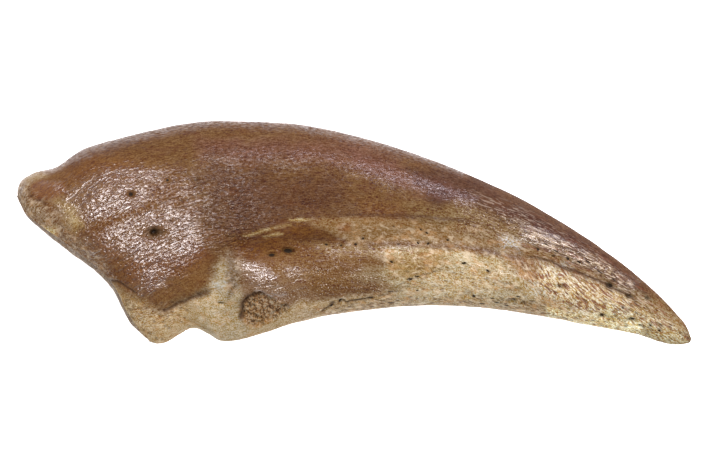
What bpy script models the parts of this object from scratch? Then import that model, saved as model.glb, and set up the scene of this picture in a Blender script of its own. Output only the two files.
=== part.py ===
"""A fossil dinosaur claw bone (an ungual), lying on its side.

X runs from the joint end to the tip, Y from the inner curve to the outer curve, and Z across the
bone's thickness. The bone is one solid, swept through ribs: each rib is a line in the middle plane
from the outer curve to the inner curve, with a rounded section set about it. The joint face closes
the first rib and a blunt point closes the last. The bone is then laid on the side face it rests on.
"""

import math

import bmesh
import bpy
import numpy as np
from mathutils import Matrix, Vector
from mathutils.bvhtree import BVHTree

MM = 0.001

# Ribs, in millimetres: (x, y) on the outer curve, (x, y) on the inner curve, half the thickness.
RIBS = (
    ((-62.7, 6.6), (-37.9, -20.5), 9.6),  # edge of the joint face
    ((-62.2, 9.4), (-36.6, -20.9), 11.0),
    ((-59.7, 11.4), (-34.9, -20.7), 11.7),  # lip and heel
    ((-55.1, 13.2), (-32.3, -19.2), 11.9),
    ((-49.1, 16.3), (-29.5, -18.0), 11.5),  # notch behind the heel
    ((-43.1, 17.9), (-27.0, -19.0), 11.0),
    ((-37.9, 19.2), (-24.8, -20.3), 10.5),
    ((-32.3, 20.4), (-21.8, -20.3), 10.1),
    ((-26.3, 21.0), (-16.9, -19.2), 9.7),  # tendon knob
    ((-18.8, 20.9), (-11.7, -17.5), 9.4),
    ((-9.4, 20.2), (-4.2, -15.7), 9.1),
    ((1.8, 17.9), (5.1, -14.4), 8.9),
    ((13.0, 14.4), (14.5, -13.8), 8.6),
    ((23.8, 10.1), (23.3, -14.1), 8.0),
    ((33.2, 5.5), (31.3, -15.1), 7.1),
    ((42.5, 0.0), (39.4, -16.5), 6.0),
    ((51.0, -6.0), (47.2, -18.2), 4.7),
    ((56.6, -10.9), (53.8, -19.4), 3.6),
    ((60.3, -14.8), (57.9, -20.7), 2.6),
    ((62.4, -17.3), (60.7, -21.0), 1.7),
    ((63.1, -19.4), (62.6, -20.7), 0.8),
)
TIP = (63.2, -20.2)  # the point itself
TIP_BEND = 1.2  # how far the blade leans sideways by its tip
WIDEST_UP = 0.14  # the section is this share wider towards the outer curve
SECTION_POWER = 0.86  # 1 is an ellipse, less is squarer
ROUND_POWER = 1.0  # the same, by the tip

# Joint face: how far its middle keel stands out from the chord of the first rib, from the lip (0)
# to the heel (1) of that chord, and how the two cups and the side edges lie behind the keel.
KEEL_AT = (0.0, 0.1, 0.18, 0.3, 0.45, 0.62, 0.7, 0.82, 0.91, 1.0)
KEEL_OUT = (0.0, 1.2, 1.1, 0.4, -0.4, -1.3, -1.0, 0.2, 0.4, 0.0)
CUP_DEPTH = 1.9
EDGE_SET_BACK = 1.7
EDGE_SET_BACK_POWER = 1.5
SET_BACK_FADES = 0.09  # share of the bone's length over which the sides catch up

# Relief of the side faces. Swellings and hollows: x, y, long radius, short radius, turn, height.
RELIEF_FADE = 0.5  # towards the outline the relief fades by this power of the section's width
SWELLINGS = (
    (-6.0, -10.0, 10.0, 4.0, 5.0, 0.7),  # root of the tendon knob, running out along the blade
    (-24.5, -12.5, 7.0, 3.2, 100.0, -1.6),  # valley between heel and knob
    (-40.0, -14.0, 7.0, 4.0, 40.0, 0.5),  # flank of the heel
    (-44.0, 3.0, 15.0, 7.0, 45.0, 0.5),  # swollen side of the joint end
    (-58.0, 9.0, 4.5, 3.0, 50.0, -0.6),  # dip beside the lip
)
UPPER_SWELLINGS = ((-17.0, -9.6, 6.5, 5.0, 20.0, 1.5),)  # flank of the tendon knob
LOWER_SWELLINGS = (
    (-17.0, -10.2, 7.0, 5.0, 15.0, 2.4),  # the same, and stouter
    (-44.0, 7.0, 10.0, 6.0, 35.0, 1.0),  # swollen shoulder of the joint end
    (22.0, 5.5, 13.0, 4.5, -28.0, 1.2),  # thickened shoulder of the blade
)
# Furrows: half width, depth, and the points that they run through.
CLAW_GROOVE = (
    (2.6, 1.25),
    (
        (-20.5, -3.2),
        (-15.0, -3.6),
        (-2.3, -2.0),
        (12.0, -1.2),
        (20.0, -2.0),
        (27.6, -4.0),
        (38.8, -6.8),
        (48.3, -10.2),
        (53.2, -12.6),
        (58.0, -15.6),
    ),
)
HEEL_LEDGE = (
    (0.9, 0.5),
    ((-38.0, -16.8), (-34.9, -14.7), (-31.8, -13.0), (-27.2, -11.4), (-25.4, -11.2)),
)
FURROWS = (CLAW_GROOVE, HEEL_LEDGE)
# Broken spot on the knob of the upper side: x, y, long radius, short radius, turn, depth.
BROKEN_SPOT = (-16.6, -14.4, 4.9, 3.6, 15.0, 1.1)
BROKEN_EDGE = 12.0  # how sharply its rim falls

# Blood-vessel holes: x, y, length, width, turn in degrees, depth.
UPPER_HOLES = (
    (-36.9, 0.0, 3.2, 1.9, 12.0, 1.6),
    (-41.4, 7.4, 1.5, 1.2, 0.0, 0.8),
    (-11.9, -3.5, 2.6, 1.3, -3.0, 1.2),
    (-15.1, -4.1, 1.7, 1.1, 0.0, 1.0),
    (48.5, -10.0, 2.0, 1.5, -40.0, 0.8),
    (51.9, -12.0, 1.7, 1.3, -30.0, 0.8),
    (52.3, -16.8, 2.0, 1.5, 20.0, 0.9),
    (39.0, -10.5, 1.6, 1.4, 0.0, 0.6),
)
LOWER_HOLES = (
    (-38.5, 1.5, 2.8, 1.8, 20.0, 1.4),
    (-13.5, -3.2, 2.4, 1.3, 4.0, 1.2),
    (47.0, -10.0, 1.9, 1.4, -30.0, 0.8),
    (51.0, -16.0, 1.8, 1.4, 10.0, 0.8),
)

RAY_START = 30.0  # how far outside the middle plane a side face is looked for
SMALLEST = 1e-9  # keeps a root or a quotient defined at the very edge

# How finely the solid is faceted.
RING_POINTS = 46
FACE_RINGS = 8
BODY_RINGS = 78

# Resting pose: the turns that bring the side face down onto three touching spots.
REST_PITCH_DEG = 4.19
REST_ROLL_DEG = 5.65
REST_FLAT = 0.2  # how deep the touching spots are worn flat

BONE_COLOUR = (0.26, 0.14, 0.08, 1.0)
BONE_ROUGHNESS = 0.42


def through(knots, values, at):
    """Smooth curve through values at the knots: cubic pieces that share their slopes."""
    knots, values = np.asarray(knots, float), np.asarray(values, float)
    gaps = np.diff(knots)
    steps = (np.diff(values, axis=0).T / gaps).T
    slopes = np.empty_like(values)
    weights = gaps[1:] / (gaps[1:] + gaps[:-1])
    slopes[1:-1] = (steps[:-1].T * weights + steps[1:].T * (1 - weights)).T
    slopes[0] = 2 * steps[0] - slopes[1]
    slopes[-1] = 2 * steps[-1] - slopes[-2]
    at = np.asarray(at, float)
    i = np.clip(np.searchsorted(knots, at) - 1, 0, len(gaps) - 1)
    t = (at - knots[i]) / gaps[i]
    shape = t.shape + (1,) * (values.ndim - 1)
    t, gap = t.reshape(shape), gaps[i].reshape(shape)
    return (
        values[i] * (1 + 2 * t) * (1 - t) ** 2
        + values[i + 1] * t * t * (3 - 2 * t)
        + slopes[i] * gap * t * (1 - t) ** 2
        - slopes[i + 1] * gap * t * t * (1 - t)
    )


def rib_places():
    """Where each rib lies along the bone, from 0 to 1, by the mean length of its two curves."""
    outer, inner = (np.array([rib[side] for rib in RIBS]) for side in (0, 1))
    lengths = [np.linalg.norm(np.diff(curve, axis=0), axis=1) for curve in (outer, inner)]
    run = np.concatenate([[0.0], np.cumsum(sum(lengths) / 2)])
    return run / run[-1]


def ribs_at(along):
    """Middle point, half chord and half thickness of the rib at each place along the bone."""
    places = rib_places()
    outer = through(places, [rib[0] for rib in RIBS], along)
    inner = through(places, [rib[1] for rib in RIBS], along)
    thickness = through(places, [rib[2] for rib in RIBS], along)
    return (outer + inner) / 2, (outer - inner) / 2, thickness


def face_offset(up, across):
    """How far the joint face stands out from the first rib's chord, at shares of its half height
    and half width: a keel down the middle, a cup on each side and side edges set back."""
    keel = through(KEEL_AT, KEEL_OUT, (1 - up) / 2)
    reach = np.sqrt(np.maximum(1 - up**2, SMALLEST))
    share = np.clip(np.abs(across) / reach, 0, 1)
    cup = CUP_DEPTH * np.sin(math.pi * share) ** 2 * reach
    return keel - EDGE_SET_BACK * np.abs(across) ** EDGE_SET_BACK_POWER - cup


def gap_to_path(x, y, path):
    """Distance from each point to a path of straight pieces."""
    path = np.asarray(path, float)
    nearest = np.full(np.shape(x), np.inf)
    for (ax, ay), (bx, by) in zip(path[:-1], path[1:]):
        run = (bx - ax) ** 2 + (by - ay) ** 2
        t = np.clip(((x - ax) * (bx - ax) + (y - ay) * (by - ay)) / run, 0, 1)
        nearest = np.minimum(nearest, np.hypot(x - ax - t * (bx - ax), y - ay - t * (by - ay)))
    return nearest


def oval(x, y, centre_x, centre_y, long_radius, short_radius, turn_deg):
    """Distance from an oval's centre in its own radii: 1 on its outline."""
    c, s = math.cos(math.radians(turn_deg)), math.sin(math.radians(turn_deg))
    dx, dy = x - centre_x, y - centre_y
    return np.hypot((dx * c + dy * s) / long_radius, (dy * c - dx * s) / short_radius)


def side_relief(x, y, upper):
    """Height of the relief at x, y on the upper side face, or on the lower one."""
    height = np.zeros(np.shape(x))
    for *place, rise in SWELLINGS + (UPPER_SWELLINGS if upper else LOWER_SWELLINGS):
        height += rise * np.exp(-(oval(x, y, *place) ** 2))
    for (half_width, depth), path in FURROWS:
        height -= depth * np.exp(-((gap_to_path(x, y, path) / half_width) ** 2))
    if upper:
        *place, depth = BROKEN_SPOT
        height -= depth / (1 + np.exp(BROKEN_EDGE * (oval(x, y, *place) - 1)))
    return height


def ring_angles():
    """Angles round a section, from the outer curve over the upper side and back."""
    return np.arange(RING_POINTS) * 2 * math.pi / RING_POINTS


def face_rings():
    """Rings of the joint face, growing from its centre to the first rib."""
    middle, half, thickness = (value[0] for value in ribs_at(np.array([0.0])))
    outward = np.array([-half[1], half[0]]) / np.linalg.norm(half)
    angles = ring_angles()
    for share in np.arange(1, FACE_RINGS) / FACE_RINGS:
        up, across = share * np.cos(angles), share * np.sin(angles)
        side = np.sign(across) * np.abs(across) ** SECTION_POWER * (1 + WIDEST_UP * up)
        flat = middle + np.outer(up, half) + np.outer(face_offset(up, across), outward)
        yield np.column_stack([flat, thickness * side])


def body_rings():
    """Rings of the bone from the first rib to the last."""
    along = np.arange(BODY_RINGS) / (BODY_RINGS - 1)
    angles = ring_angles()
    up, across = np.cos(angles), np.sin(angles)
    for place, middle, half, thickness in zip(along, *ribs_at(along)):
        outward = np.array([-half[1], half[0]]) / np.linalg.norm(half)
        power = SECTION_POWER + (ROUND_POWER - SECTION_POWER) * place
        side = np.sign(across) * np.abs(across) ** power * (1 + WIDEST_UP * (1 - place) * up)
        catch_up = math.exp(-((place / SET_BACK_FADES) ** 2))
        flat = middle + np.outer(up, half) + np.outer(face_offset(up, across) * catch_up, outward)
        x, y = flat.T
        relief = np.where(across > 0, side_relief(x, y, True), -side_relief(x, y, False))
        depth = thickness * side + relief * np.abs(across) ** RELIEF_FADE + TIP_BEND * place**2
        yield np.column_stack([flat, depth])


def bone_mesh():
    """The bone as one closed mesh: a fan at each end and four-sided faces between the rings."""
    middle, half, _ = (value[0] for value in ribs_at(np.array([0.0])))
    outward = np.array([-half[1], half[0]]) / np.linalg.norm(half)
    face_centre = (*(middle + outward * face_offset(np.array([0.0]), np.array([0.0]))), 0.0)
    shape = bmesh.new()
    start = shape.verts.new(Vector(face_centre) * MM)
    finish = shape.verts.new(Vector((*TIP, TIP_BEND)) * MM)
    rings = [
        [shape.verts.new(Vector(point) * MM) for point in ring]
        for ring in (*face_rings(), *body_rings())
    ]
    for i in range(RING_POINTS):
        j = (i + 1) % RING_POINTS
        shape.faces.new((start, rings[0][i], rings[0][j]))
        shape.faces.new((finish, rings[-1][j], rings[-1][i]))
        for near, far in zip(rings[:-1], rings[1:]):
            shape.faces.new((near[i], far[i], far[j], near[j]))
    bmesh.ops.recalc_face_normals(shape, faces=shape.faces)
    mesh = bpy.data.meshes.new("claw")
    shape.to_mesh(mesh)
    shape.free()
    return mesh


def surface_height(tree, x, y, upper):
    """Height of the upper or lower side face at x, y, in millimetres."""
    way = -1 if upper else 1
    hit, *_ = tree.ray_cast(Vector((x, y, -way * RAY_START)) * MM, Vector((0, 0, way)))
    return hit.z / MM


def hole_cutters(mesh):
    """One helper mesh of faceted ovals, each sunk to its hole's depth in the side face."""
    tree = BVHTree.FromPolygons(
        [v.co for v in mesh.vertices], [tuple(p.vertices) for p in mesh.polygons]
    )
    shape = bmesh.new()
    for upper, holes in ((True, UPPER_HOLES), (False, LOWER_HOLES)):
        for x, y, length, width, turn_deg, depth in holes:
            z = surface_height(tree, x, y, upper)
            size = Matrix.Diagonal((length / 2, width / 2, depth, 1.0))
            turn = Matrix.Rotation(math.radians(turn_deg), 4, "Z")
            place = Matrix.Translation((x, y, z)) @ turn @ size
            bmesh.ops.create_icosphere(
                shape, subdivisions=1, radius=1.0, matrix=Matrix.Scale(MM, 4) @ place
            )
    cutters = bpy.data.meshes.new("hole_cutters")
    shape.to_mesh(cutters)
    shape.free()
    return cutters


def rest_turn():
    """The turn from the bone's own middle plane to the pose it rests in."""
    roll = Matrix.Rotation(math.radians(REST_ROLL_DEG), 4, "X")
    return roll @ Matrix.Rotation(math.radians(REST_PITCH_DEG), 4, "Y")


def wear_flat(mesh):
    """Flattens the spots that the bone rests on, so that each is a small true face."""
    down = rest_turn().inverted() @ Vector((0, 0, -1))
    floor = max(v.co.dot(down) for v in mesh.vertices) - REST_FLAT * MM
    for v in mesh.vertices:
        v.co -= down * max(v.co.dot(down) - floor, 0.0)


def rest_place(mesh):
    """Turns the bone to rest on Z = 0, centred over the origin."""
    turn = rest_turn()
    xs, ys, zs = zip(*(turn @ v.co for v in mesh.vertices))
    middle = Vector(((min(xs) + max(xs)) / 2, (min(ys) + max(ys)) / 2, min(zs)))
    return Matrix.Translation(-middle) @ turn


def bone_material():
    material = bpy.data.materials.new("fossil_bone")
    material.use_nodes = True
    shader = material.node_tree.nodes["Principled BSDF"]
    shader.inputs["Base Color"].default_value = BONE_COLOUR
    shader.inputs["Roughness"].default_value = BONE_ROUGHNESS
    shader.inputs["Metallic"].default_value = 0.0
    return material


def clear_scene():
    for thing in list(bpy.data.objects):
        bpy.data.objects.remove(thing, do_unlink=True)


def add(name, mesh, place):
    made = bpy.data.objects.new(name, mesh)
    made.matrix_world = place
    bpy.context.scene.collection.objects.link(made)
    return made


def build_claw():
    mesh = bone_mesh()
    wear_flat(mesh)
    place = rest_place(mesh)
    cutters = add("hole_cutters", hole_cutters(mesh), place)
    cutters.hide_render = True
    cutters.display_type = "WIRE"
    claw = add("claw", mesh, place)
    claw.data.materials.append(bone_material())
    claw.data.shade_smooth()
    cut = claw.modifiers.new("holes", "BOOLEAN")
    cut.operation = "DIFFERENCE"
    cut.object = cutters
    return claw


clear_scene()
build_claw()
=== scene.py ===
"""The looks of a fossil dinosaur claw bone, lying on its side on a pale table.

The bone is one fine mesh, worked out with numpy in the claw's own middle plane, in millimetres: x
runs from the joint end to the tip, y from the inner curve to the outer curve, and z across the
thickness, with the upper side positive. Last, the mesh is turned into the resting pose and brought
to metres. Relief a grid can carry (holes, pits, cracks, wrinkles, fibres, the broken spot) is in
the mesh, and colours and finishes are painted on it as named stains, which the material reads.
"""

import itertools
import math

import bpy
import numpy as np
from mathutils import Matrix, Vector


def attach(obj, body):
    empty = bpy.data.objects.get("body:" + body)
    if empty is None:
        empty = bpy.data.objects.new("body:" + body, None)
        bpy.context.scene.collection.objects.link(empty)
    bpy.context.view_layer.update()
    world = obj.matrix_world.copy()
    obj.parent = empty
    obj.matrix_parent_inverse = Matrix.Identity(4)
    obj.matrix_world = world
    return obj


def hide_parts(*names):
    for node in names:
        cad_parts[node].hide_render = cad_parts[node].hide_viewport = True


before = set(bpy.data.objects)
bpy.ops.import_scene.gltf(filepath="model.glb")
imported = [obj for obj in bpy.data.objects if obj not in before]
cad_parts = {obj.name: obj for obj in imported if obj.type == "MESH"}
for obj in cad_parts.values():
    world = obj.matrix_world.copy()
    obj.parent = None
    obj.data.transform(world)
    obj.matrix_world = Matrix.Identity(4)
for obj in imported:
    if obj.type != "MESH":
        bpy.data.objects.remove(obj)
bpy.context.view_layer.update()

MM = 0.001

# --- Form of the bone, in millimetres: the same ribs and relief as the solid ---

# Ribs: (x, y) on the outer curve, (x, y) on the inner curve, half the thickness.
RIBS = (
    ((-62.7, 6.6), (-37.9, -20.5), 9.6),  # edge of the joint face
    ((-62.2, 9.4), (-36.6, -20.9), 11.0),
    ((-59.7, 11.4), (-34.9, -20.7), 11.7),  # lip and heel
    ((-55.1, 13.2), (-32.3, -19.2), 11.9),
    ((-49.1, 16.3), (-29.5, -18.0), 11.5),  # notch behind the heel
    ((-43.1, 17.9), (-27.0, -19.0), 11.0),
    ((-37.9, 19.2), (-24.8, -20.3), 10.5),
    ((-32.3, 20.4), (-21.8, -20.3), 10.1),
    ((-26.3, 21.0), (-16.9, -19.2), 9.7),  # tendon knob
    ((-18.8, 20.9), (-11.7, -17.5), 9.4),
    ((-9.4, 20.2), (-4.2, -15.7), 9.1),
    ((1.8, 17.9), (5.1, -14.4), 8.9),
    ((13.0, 14.4), (14.5, -13.8), 8.6),
    ((23.8, 10.1), (23.3, -14.1), 8.0),
    ((33.2, 5.5), (31.3, -15.1), 7.1),
    ((42.5, 0.0), (39.4, -16.5), 6.0),
    ((51.0, -6.0), (47.2, -18.2), 4.7),
    ((56.6, -10.9), (53.8, -19.4), 3.6),
    ((60.3, -14.8), (57.9, -20.7), 2.6),
    ((62.4, -17.3), (60.7, -21.0), 1.7),
    ((63.1, -19.4), (62.6, -20.7), 0.8),
)
TIP = (63.2, -20.2)
TIP_BEND = 1.2  # how far the blade leans sideways by its tip
WIDEST_UP = 0.14  # the section is this share wider towards the outer curve
SECTION_POWER = 0.86  # 1 is an ellipse, less is squarer
ROUND_POWER = 1.0  # the same, by the tip

# Joint face: how far its keel stands out from the chord of the first rib, from lip (0) to heel (1).
KEEL_AT = (0.0, 0.1, 0.18, 0.3, 0.45, 0.62, 0.7, 0.82, 0.91, 1.0)
KEEL_OUT = (0.0, 1.2, 1.1, 0.4, -0.4, -1.3, -1.0, 0.2, 0.4, 0.0)
CUP_DEPTH = 1.9
EDGE_SET_BACK = 1.7
EDGE_SET_BACK_POWER = 1.5
SET_BACK_FADES = 0.09  # share of the bone's length over which the sides catch up

# Swellings and hollows of the side faces: x, y, long radius, short radius, turn, height.
RELIEF_FADE = 0.5  # towards the outline the relief fades by this power of the section's width
SWELLINGS = (
    (-6.0, -10.0, 10.0, 4.0, 5.0, 0.7),  # root of the tendon knob, running out along the blade
    (-24.5, -12.5, 7.0, 3.2, 100.0, -1.6),  # valley between heel and knob
    (-40.0, -14.0, 7.0, 4.0, 40.0, 0.5),  # flank of the heel
    (-44.0, 3.0, 15.0, 7.0, 45.0, 0.5),  # swollen side of the joint end
    (-58.0, 9.0, 4.5, 3.0, 50.0, -0.6),  # dip beside the lip
)
UPPER_SWELLINGS = ((-17.0, -9.6, 6.5, 5.0, 20.0, 1.5),)  # flank of the tendon knob
LOWER_SWELLINGS = (
    (-17.0, -10.2, 7.0, 5.0, 15.0, 2.4),  # the same, and stouter
    (-44.0, 7.0, 10.0, 6.0, 35.0, 1.0),  # swollen shoulder of the joint end
    (22.0, 5.5, 13.0, 4.5, -28.0, 1.2),  # thickened shoulder of the blade
)
# Furrows: half width, depth, and the points that they run through.
CLAW_GROOVE = (
    (2.6, 1.25),
    (
        (-20.5, -3.2),
        (-15.0, -3.6),
        (-2.3, -2.0),
        (12.0, -1.2),
        (20.0, -2.0),
        (27.6, -4.0),
        (38.8, -6.8),
        (48.3, -10.2),
        (53.2, -12.6),
        (58.0, -15.6),
    ),
)
HEEL_LEDGE = (
    (0.9, 0.5),
    ((-38.0, -16.8), (-34.9, -14.7), (-31.8, -13.0), (-27.2, -11.4), (-25.4, -11.2)),
)
FURROWS = (CLAW_GROOVE, HEEL_LEDGE)

# Resting pose: the turns that bring the lower side down onto its three touching spots.
REST_PITCH_DEG = 4.19
REST_ROLL_DEG = 5.65
REST_FLAT = 0.2  # how deep the touching spots are worn flat

# --- Fineness of the mesh ---
FACE_ROWS = 34
BODY_ROWS = 420
TIP_ROWS = 5
UPPER_COLUMNS = 148
LOWER_COLUMNS = 66
KNOB_DENSITY = (0.33, 0.07, 0.5)  # rows crowd at this place, over this spread, by this much
OVALNESS = 2.0  # how much longer than thick the sections are, for even columns
INNER_DENSITY = 0.25  # columns crowd towards the inner curve by this share

# --- Fine relief, in millimetres ---

# Holes of the upper side: x, y, length, width, turn in degrees, depth.
UPPER_HOLES = (
    (-36.0, -0.4, 3.3, 2.1, 6.0, 0.8),  # the main blood-vessel hole: a funnel, and its throat
    (-36.1, 0.0, 1.2, 1.0, 20.0, 2.2),
    (-40.5, 7.1, 1.2, 0.9, 0.0, 1.0),
    (-33.9, 9.6, 0.8, 0.6, 0.0, 0.6),
    (-28.7, 9.6, 1.1, 0.6, 10.0, 0.4),
    (-33.4, 1.9, 1.4, 0.6, 15.0, 0.3),
    (-31.4, 5.8, 0.9, 0.4, 0.0, 0.3),
    (-14.8, -4.1, 1.5, 0.6, 4.0, 0.9),  # the pair at the head of the claw groove
    (-11.8, -3.5, 2.3, 0.85, -2.0, 1.1),
    (-24.3, -13.3, 1.4, 0.5, -12.0, 0.4),
    (-4.8, -2.4, 0.8, 0.45, 0.0, 0.5),
    (-2.1, -2.5, 0.6, 0.4, 20.0, 0.4),
    (0.6, -2.3, 0.8, 0.5, 0.0, 0.5),
    (2.0, -1.3, 0.6, 0.4, 0.0, 0.4),
    (7.2, -5.6, 0.9, 0.5, -35.0, 0.6),
    (12.1, -2.0, 0.8, 0.45, -40.0, 0.5),
    (14.0, -2.1, 0.8, 0.45, 25.0, 0.5),
    (12.6, 0.2, 0.6, 0.4, -60.0, 0.5),
    (13.7, -0.4, 0.7, 0.4, -40.0, 0.5),
    (17.6, -1.6, 0.7, 0.4, 0.0, 0.5),
    (20.5, -5.9, 0.9, 0.5, 10.0, 0.7),
    (25.0, -7.3, 1.0, 0.5, -40.0, 0.6),
    (10.4, -8.8, 0.8, 0.35, 25.0, 0.4),
    (11.7, -8.3, 0.6, 0.3, 20.0, 0.4),
    (-1.9, -13.0, 1.0, 0.8, 0.0, 0.8),
    (21.3, -11.7, 1.8, 1.3, 0.0, 0.5),  # the chip on the flank
    (29.8, -12.9, 1.0, 0.75, 10.0, 0.9),
    (31.7, -13.4, 0.95, 0.6, 5.0, 0.8),
    (38.5, -10.3, 1.6, 1.3, -30.0, 0.8),
    (47.7, -10.0, 1.3, 1.0, -30.0, 0.8),
    (51.5, -12.0, 1.3, 0.9, -20.0, 0.7),
    (54.9, -12.4, 1.2, 0.8, -30.0, 0.6),
    (46.3, -15.8, 1.3, 0.9, 0.0, 0.8),
    (51.8, -16.6, 1.5, 1.2, 0.0, 0.9),
    (53.4, -17.6, 0.8, 0.7, 0.0, 0.6),
    (50.3, -14.0, 0.8, 0.6, -40.0, 0.5),
    (55.5, -17.4, 0.6, 0.5, 0.0, 0.5),
    (57.1, -18.4, 0.6, 0.5, 0.0, 0.5),
    (39.9, -5.2, 0.5, 0.4, 0.0, 0.4),
    (42.1, -5.8, 0.6, 0.4, -20.0, 0.4),
    (34.2, -3.2, 0.6, 0.5, 0.0, 0.4),
    (37.2, -4.6, 0.7, 0.5, 0.0, 0.4),
)
# Short dark slits and specks of the upper side, drawn only in its colour and gloss.
UPPER_DASHES = (
    (-2.2, -13.1, 1.0, 0.85, 0.0, 0.9),
    (0.9, -12.7, 3.2, 0.42, 12.0, 0.5),
    (3.4, -12.4, 1.3, 0.42, 3.0, 0.5),
    (-3.8, -13.8, 1.2, 0.36, 38.0, 0.5),
    (7.2, -13.3, 1.9, 0.30, 8.0, 0.3),
    (7.1, -11.1, 2.0, 0.28, 10.0, 0.3),
    (20.7, -5.8, 0.9, 0.62, 20.0, 0.7),
    (25.0, -7.3, 0.75, 0.55, 20.0, 0.7),
    (10.8, -8.8, 1.1, 0.45, 35.0, 0.5),
    (12.1, -8.3, 0.8, 0.36, 25.0, 0.4),
    (12.0, -10.9, 0.8, 0.30, 5.0, 0.3),
    (-6.3, -7.2, 0.5, 0.40, 0.0, 0.4),
    (1.9, -1.4, 0.7, 0.34, 5.0, 0.4),
    (8.5, -2.2, 0.9, 0.34, 0.0, 0.4),
    (7.6, 1.0, 0.6, 0.34, -20.0, 0.3),
    (34.3, -3.4, 0.7, 0.50, 0.0, 0.6),
    (30.7, -12.1, 1.3, 0.34, -8.0, 0.4),
    (25.9, -12.4, 1.2, 0.32, -2.0, 0.4),
    (22.5, -12.1, 0.9, 0.55, 0.0, 0.6),
    (26.8, -13.2, 1.2, 0.30, -4.0, 0.3),
    (28.5, -13.7, 1.5, 0.30, -8.0, 0.3),
    (24.1, -13.4, 1.6, 0.30, -2.0, 0.3),
    (48.0, -10.0, 1.1, 0.80, -30.0, 0.9),
    (46.2, -16.0, 1.0, 0.85, 0.0, 0.8),
    (52.1, -16.4, 1.1, 0.85, 20.0, 0.9),
    (38.4, -10.0, 0.9, 0.50, -30.0, 0.4),
    (35.7, -2.2, 1.6, 0.34, -24.0, 0.5),
    (37.6, -3.5, 1.8, 0.40, -25.0, 0.6),
    (39.8, -4.9, 1.0, 0.55, -20.0, 0.6),
    (41.9, -5.6, 1.1, 0.50, -20.0, 0.6),
    (43.6, -5.5, 1.6, 0.36, -32.0, 0.5),
    (45.8, -7.4, 1.8, 0.36, -34.0, 0.5),
    (48.5, -8.9, 1.6, 0.36, -36.0, 0.5),
)
LOWER_HOLES = (
    (-38.5, 1.5, 2.8, 1.8, 20.0, 1.8),
    (-13.5, -3.2, 2.4, 1.3, 4.0, 1.5),
    (-42.0, 8.5, 1.0, 0.8, 0.0, 0.7),
    (-29.0, -3.0, 0.9, 0.7, 30.0, 0.5),
    (4.0, -2.4, 0.8, 0.5, 10.0, 0.5),
    (16.5, -5.5, 0.9, 0.5, -20.0, 0.6),
    (33.0, -12.5, 0.9, 0.6, -10.0, 0.7),
    (47.0, -10.0, 1.9, 1.4, -30.0, 0.9),
    (51.0, -16.0, 1.8, 1.4, 10.0, 0.9),
    (43.0, -14.5, 1.0, 0.8, -30.0, 0.6),
)
DENTS = ((-56.2, 13.3, 3.4, 2.2, 30.0, 0.75),)  # broad dents: oval and depth
SETTLED = 0.2  # the surface lies this far inside the solid, so that its relief stays within
TIP_STAYS = 30  # but towards the tip, by this power of the place along the bone, it stays
HOLE_LIP = (0.04, 1.5, 0.35)  # a faint raised lip: its height, its radius in hole radii, its spread
CORE_UP = 0.12  # a hole's dark core, painted shade, lies above its middle by this share of its width

# Cracks and creases of the upper side, painted darker the deeper they are (painted shade): half width, depth, points.
UPPER_CRACKS = (
    (0.22, 0.30, ((-5.5, -15.0), (-4.7, -14.3), (-4.0, -13.6), (-3.4, -13.3))),
    (0.22, 0.35, ((-1.6, -13.1), (-0.1, -13.0), (1.0, -12.8), (2.0, -12.6), (3.8, -12.4))),
    (0.16, 0.15, ((4.9, -11.9), (6.6, -11.6), (8.3, -11.2))),
    (0.14, 0.12, ((8.8, -9.7), (10.4, -8.9), (11.9, -8.3), (14.3, -7.7), (16.3, -7.1))),
    (0.30, 0.35, ((-34.5, -14.7), (-33.2, -14.0), (-32.1, -13.3), (-30.6, -12.8), (-29.3, -12.2), (-27.9, -11.8))),
    (0.55, 0.40, ((-28.2, -11.7), (-27.3, -11.5), (-26.6, -11.3))),
    (0.22, 0.30, ((-45.1, -8.9), (-43.1, -9.2), (-41.8, -9.9), (-40.9, -10.5), (-40.2, -11.3))),
    # this one runs along the broken spot's steep left rim, and its dark is a painted shadow
    (0.50, 0.50, ((-20.6, -16.2), (-20.6, -14.7), (-20.3, -13.4), (-19.4, -12.3), (-18.1, -11.8), (-16.6, -11.5))),
    (0.20, 0.25, ((-60.0, 8.0), (-59.5, 6.9), (-58.7, 6.2), (-57.1, 5.9), (-56.5, 5.2))),
    (0.20, 0.20, ((-54.0, -1.8), (-52.9, -2.6), (-51.4, -4.0), (-49.9, -5.2), (-48.0, -6.1))),
    (0.24, 0.02, ((-1.2, 3.1), (3.6, 3.1), (8.7, 3.2), (14.3, 2.8), (21.3, 2.0))),
    (0.16, 0.16, ((32.6, -4.6), (34.6, -4.9), (36.9, -5.5), (38.4, -6.3), (39.9, -7.0), (42.1, -7.5))),
    (0.15, 0.14, ((41.7, -7.5), (43.6, -8.1), (46.2, -9.0), (48.1, -9.8))),
    (0.16, 0.15, ((48.1, -10.2), (50.0, -11.2), (51.5, -11.8), (52.6, -12.8), (53.2, -13.7))),
    (0.16, 0.14, ((34.6, -1.4), (37.6, -2.4), (40.2, -3.1), (42.8, -4.2))),
)
FAR_OFF = 99.0  # the upper side's marks are drawn this far from the lower side
CRACK_WANDER = 0.16  # cracks wander sideways by this much

# The broken spot on the knob, where the spongy bone shows: its outline and its cells.
BROKEN_SPOT = (
    (-20.7, -14.7), (-20.5, -13.4), (-19.6, -12.3), (-18.1, -11.6), (-16.6, -11.3), (-15.3, -11.9), (-13.9, -12.7),
    (-12.6, -13.3), (-11.9, -14.2), (-12.5, -15.3), (-14.0, -16.1), (-15.6, -16.8), (-17.1, -17.6), (-18.3, -18.1),
    (-19.5, -17.4), (-20.4, -16.2),
)
BROKEN_DEPTH = 0.75
BROKEN_RIM = 0.22  # how wide its steep rim is
BROKEN_CELL = 0.78  # size of a cell of the spongy bone
BROKEN_CELL_DEPTH = 0.55

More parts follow.
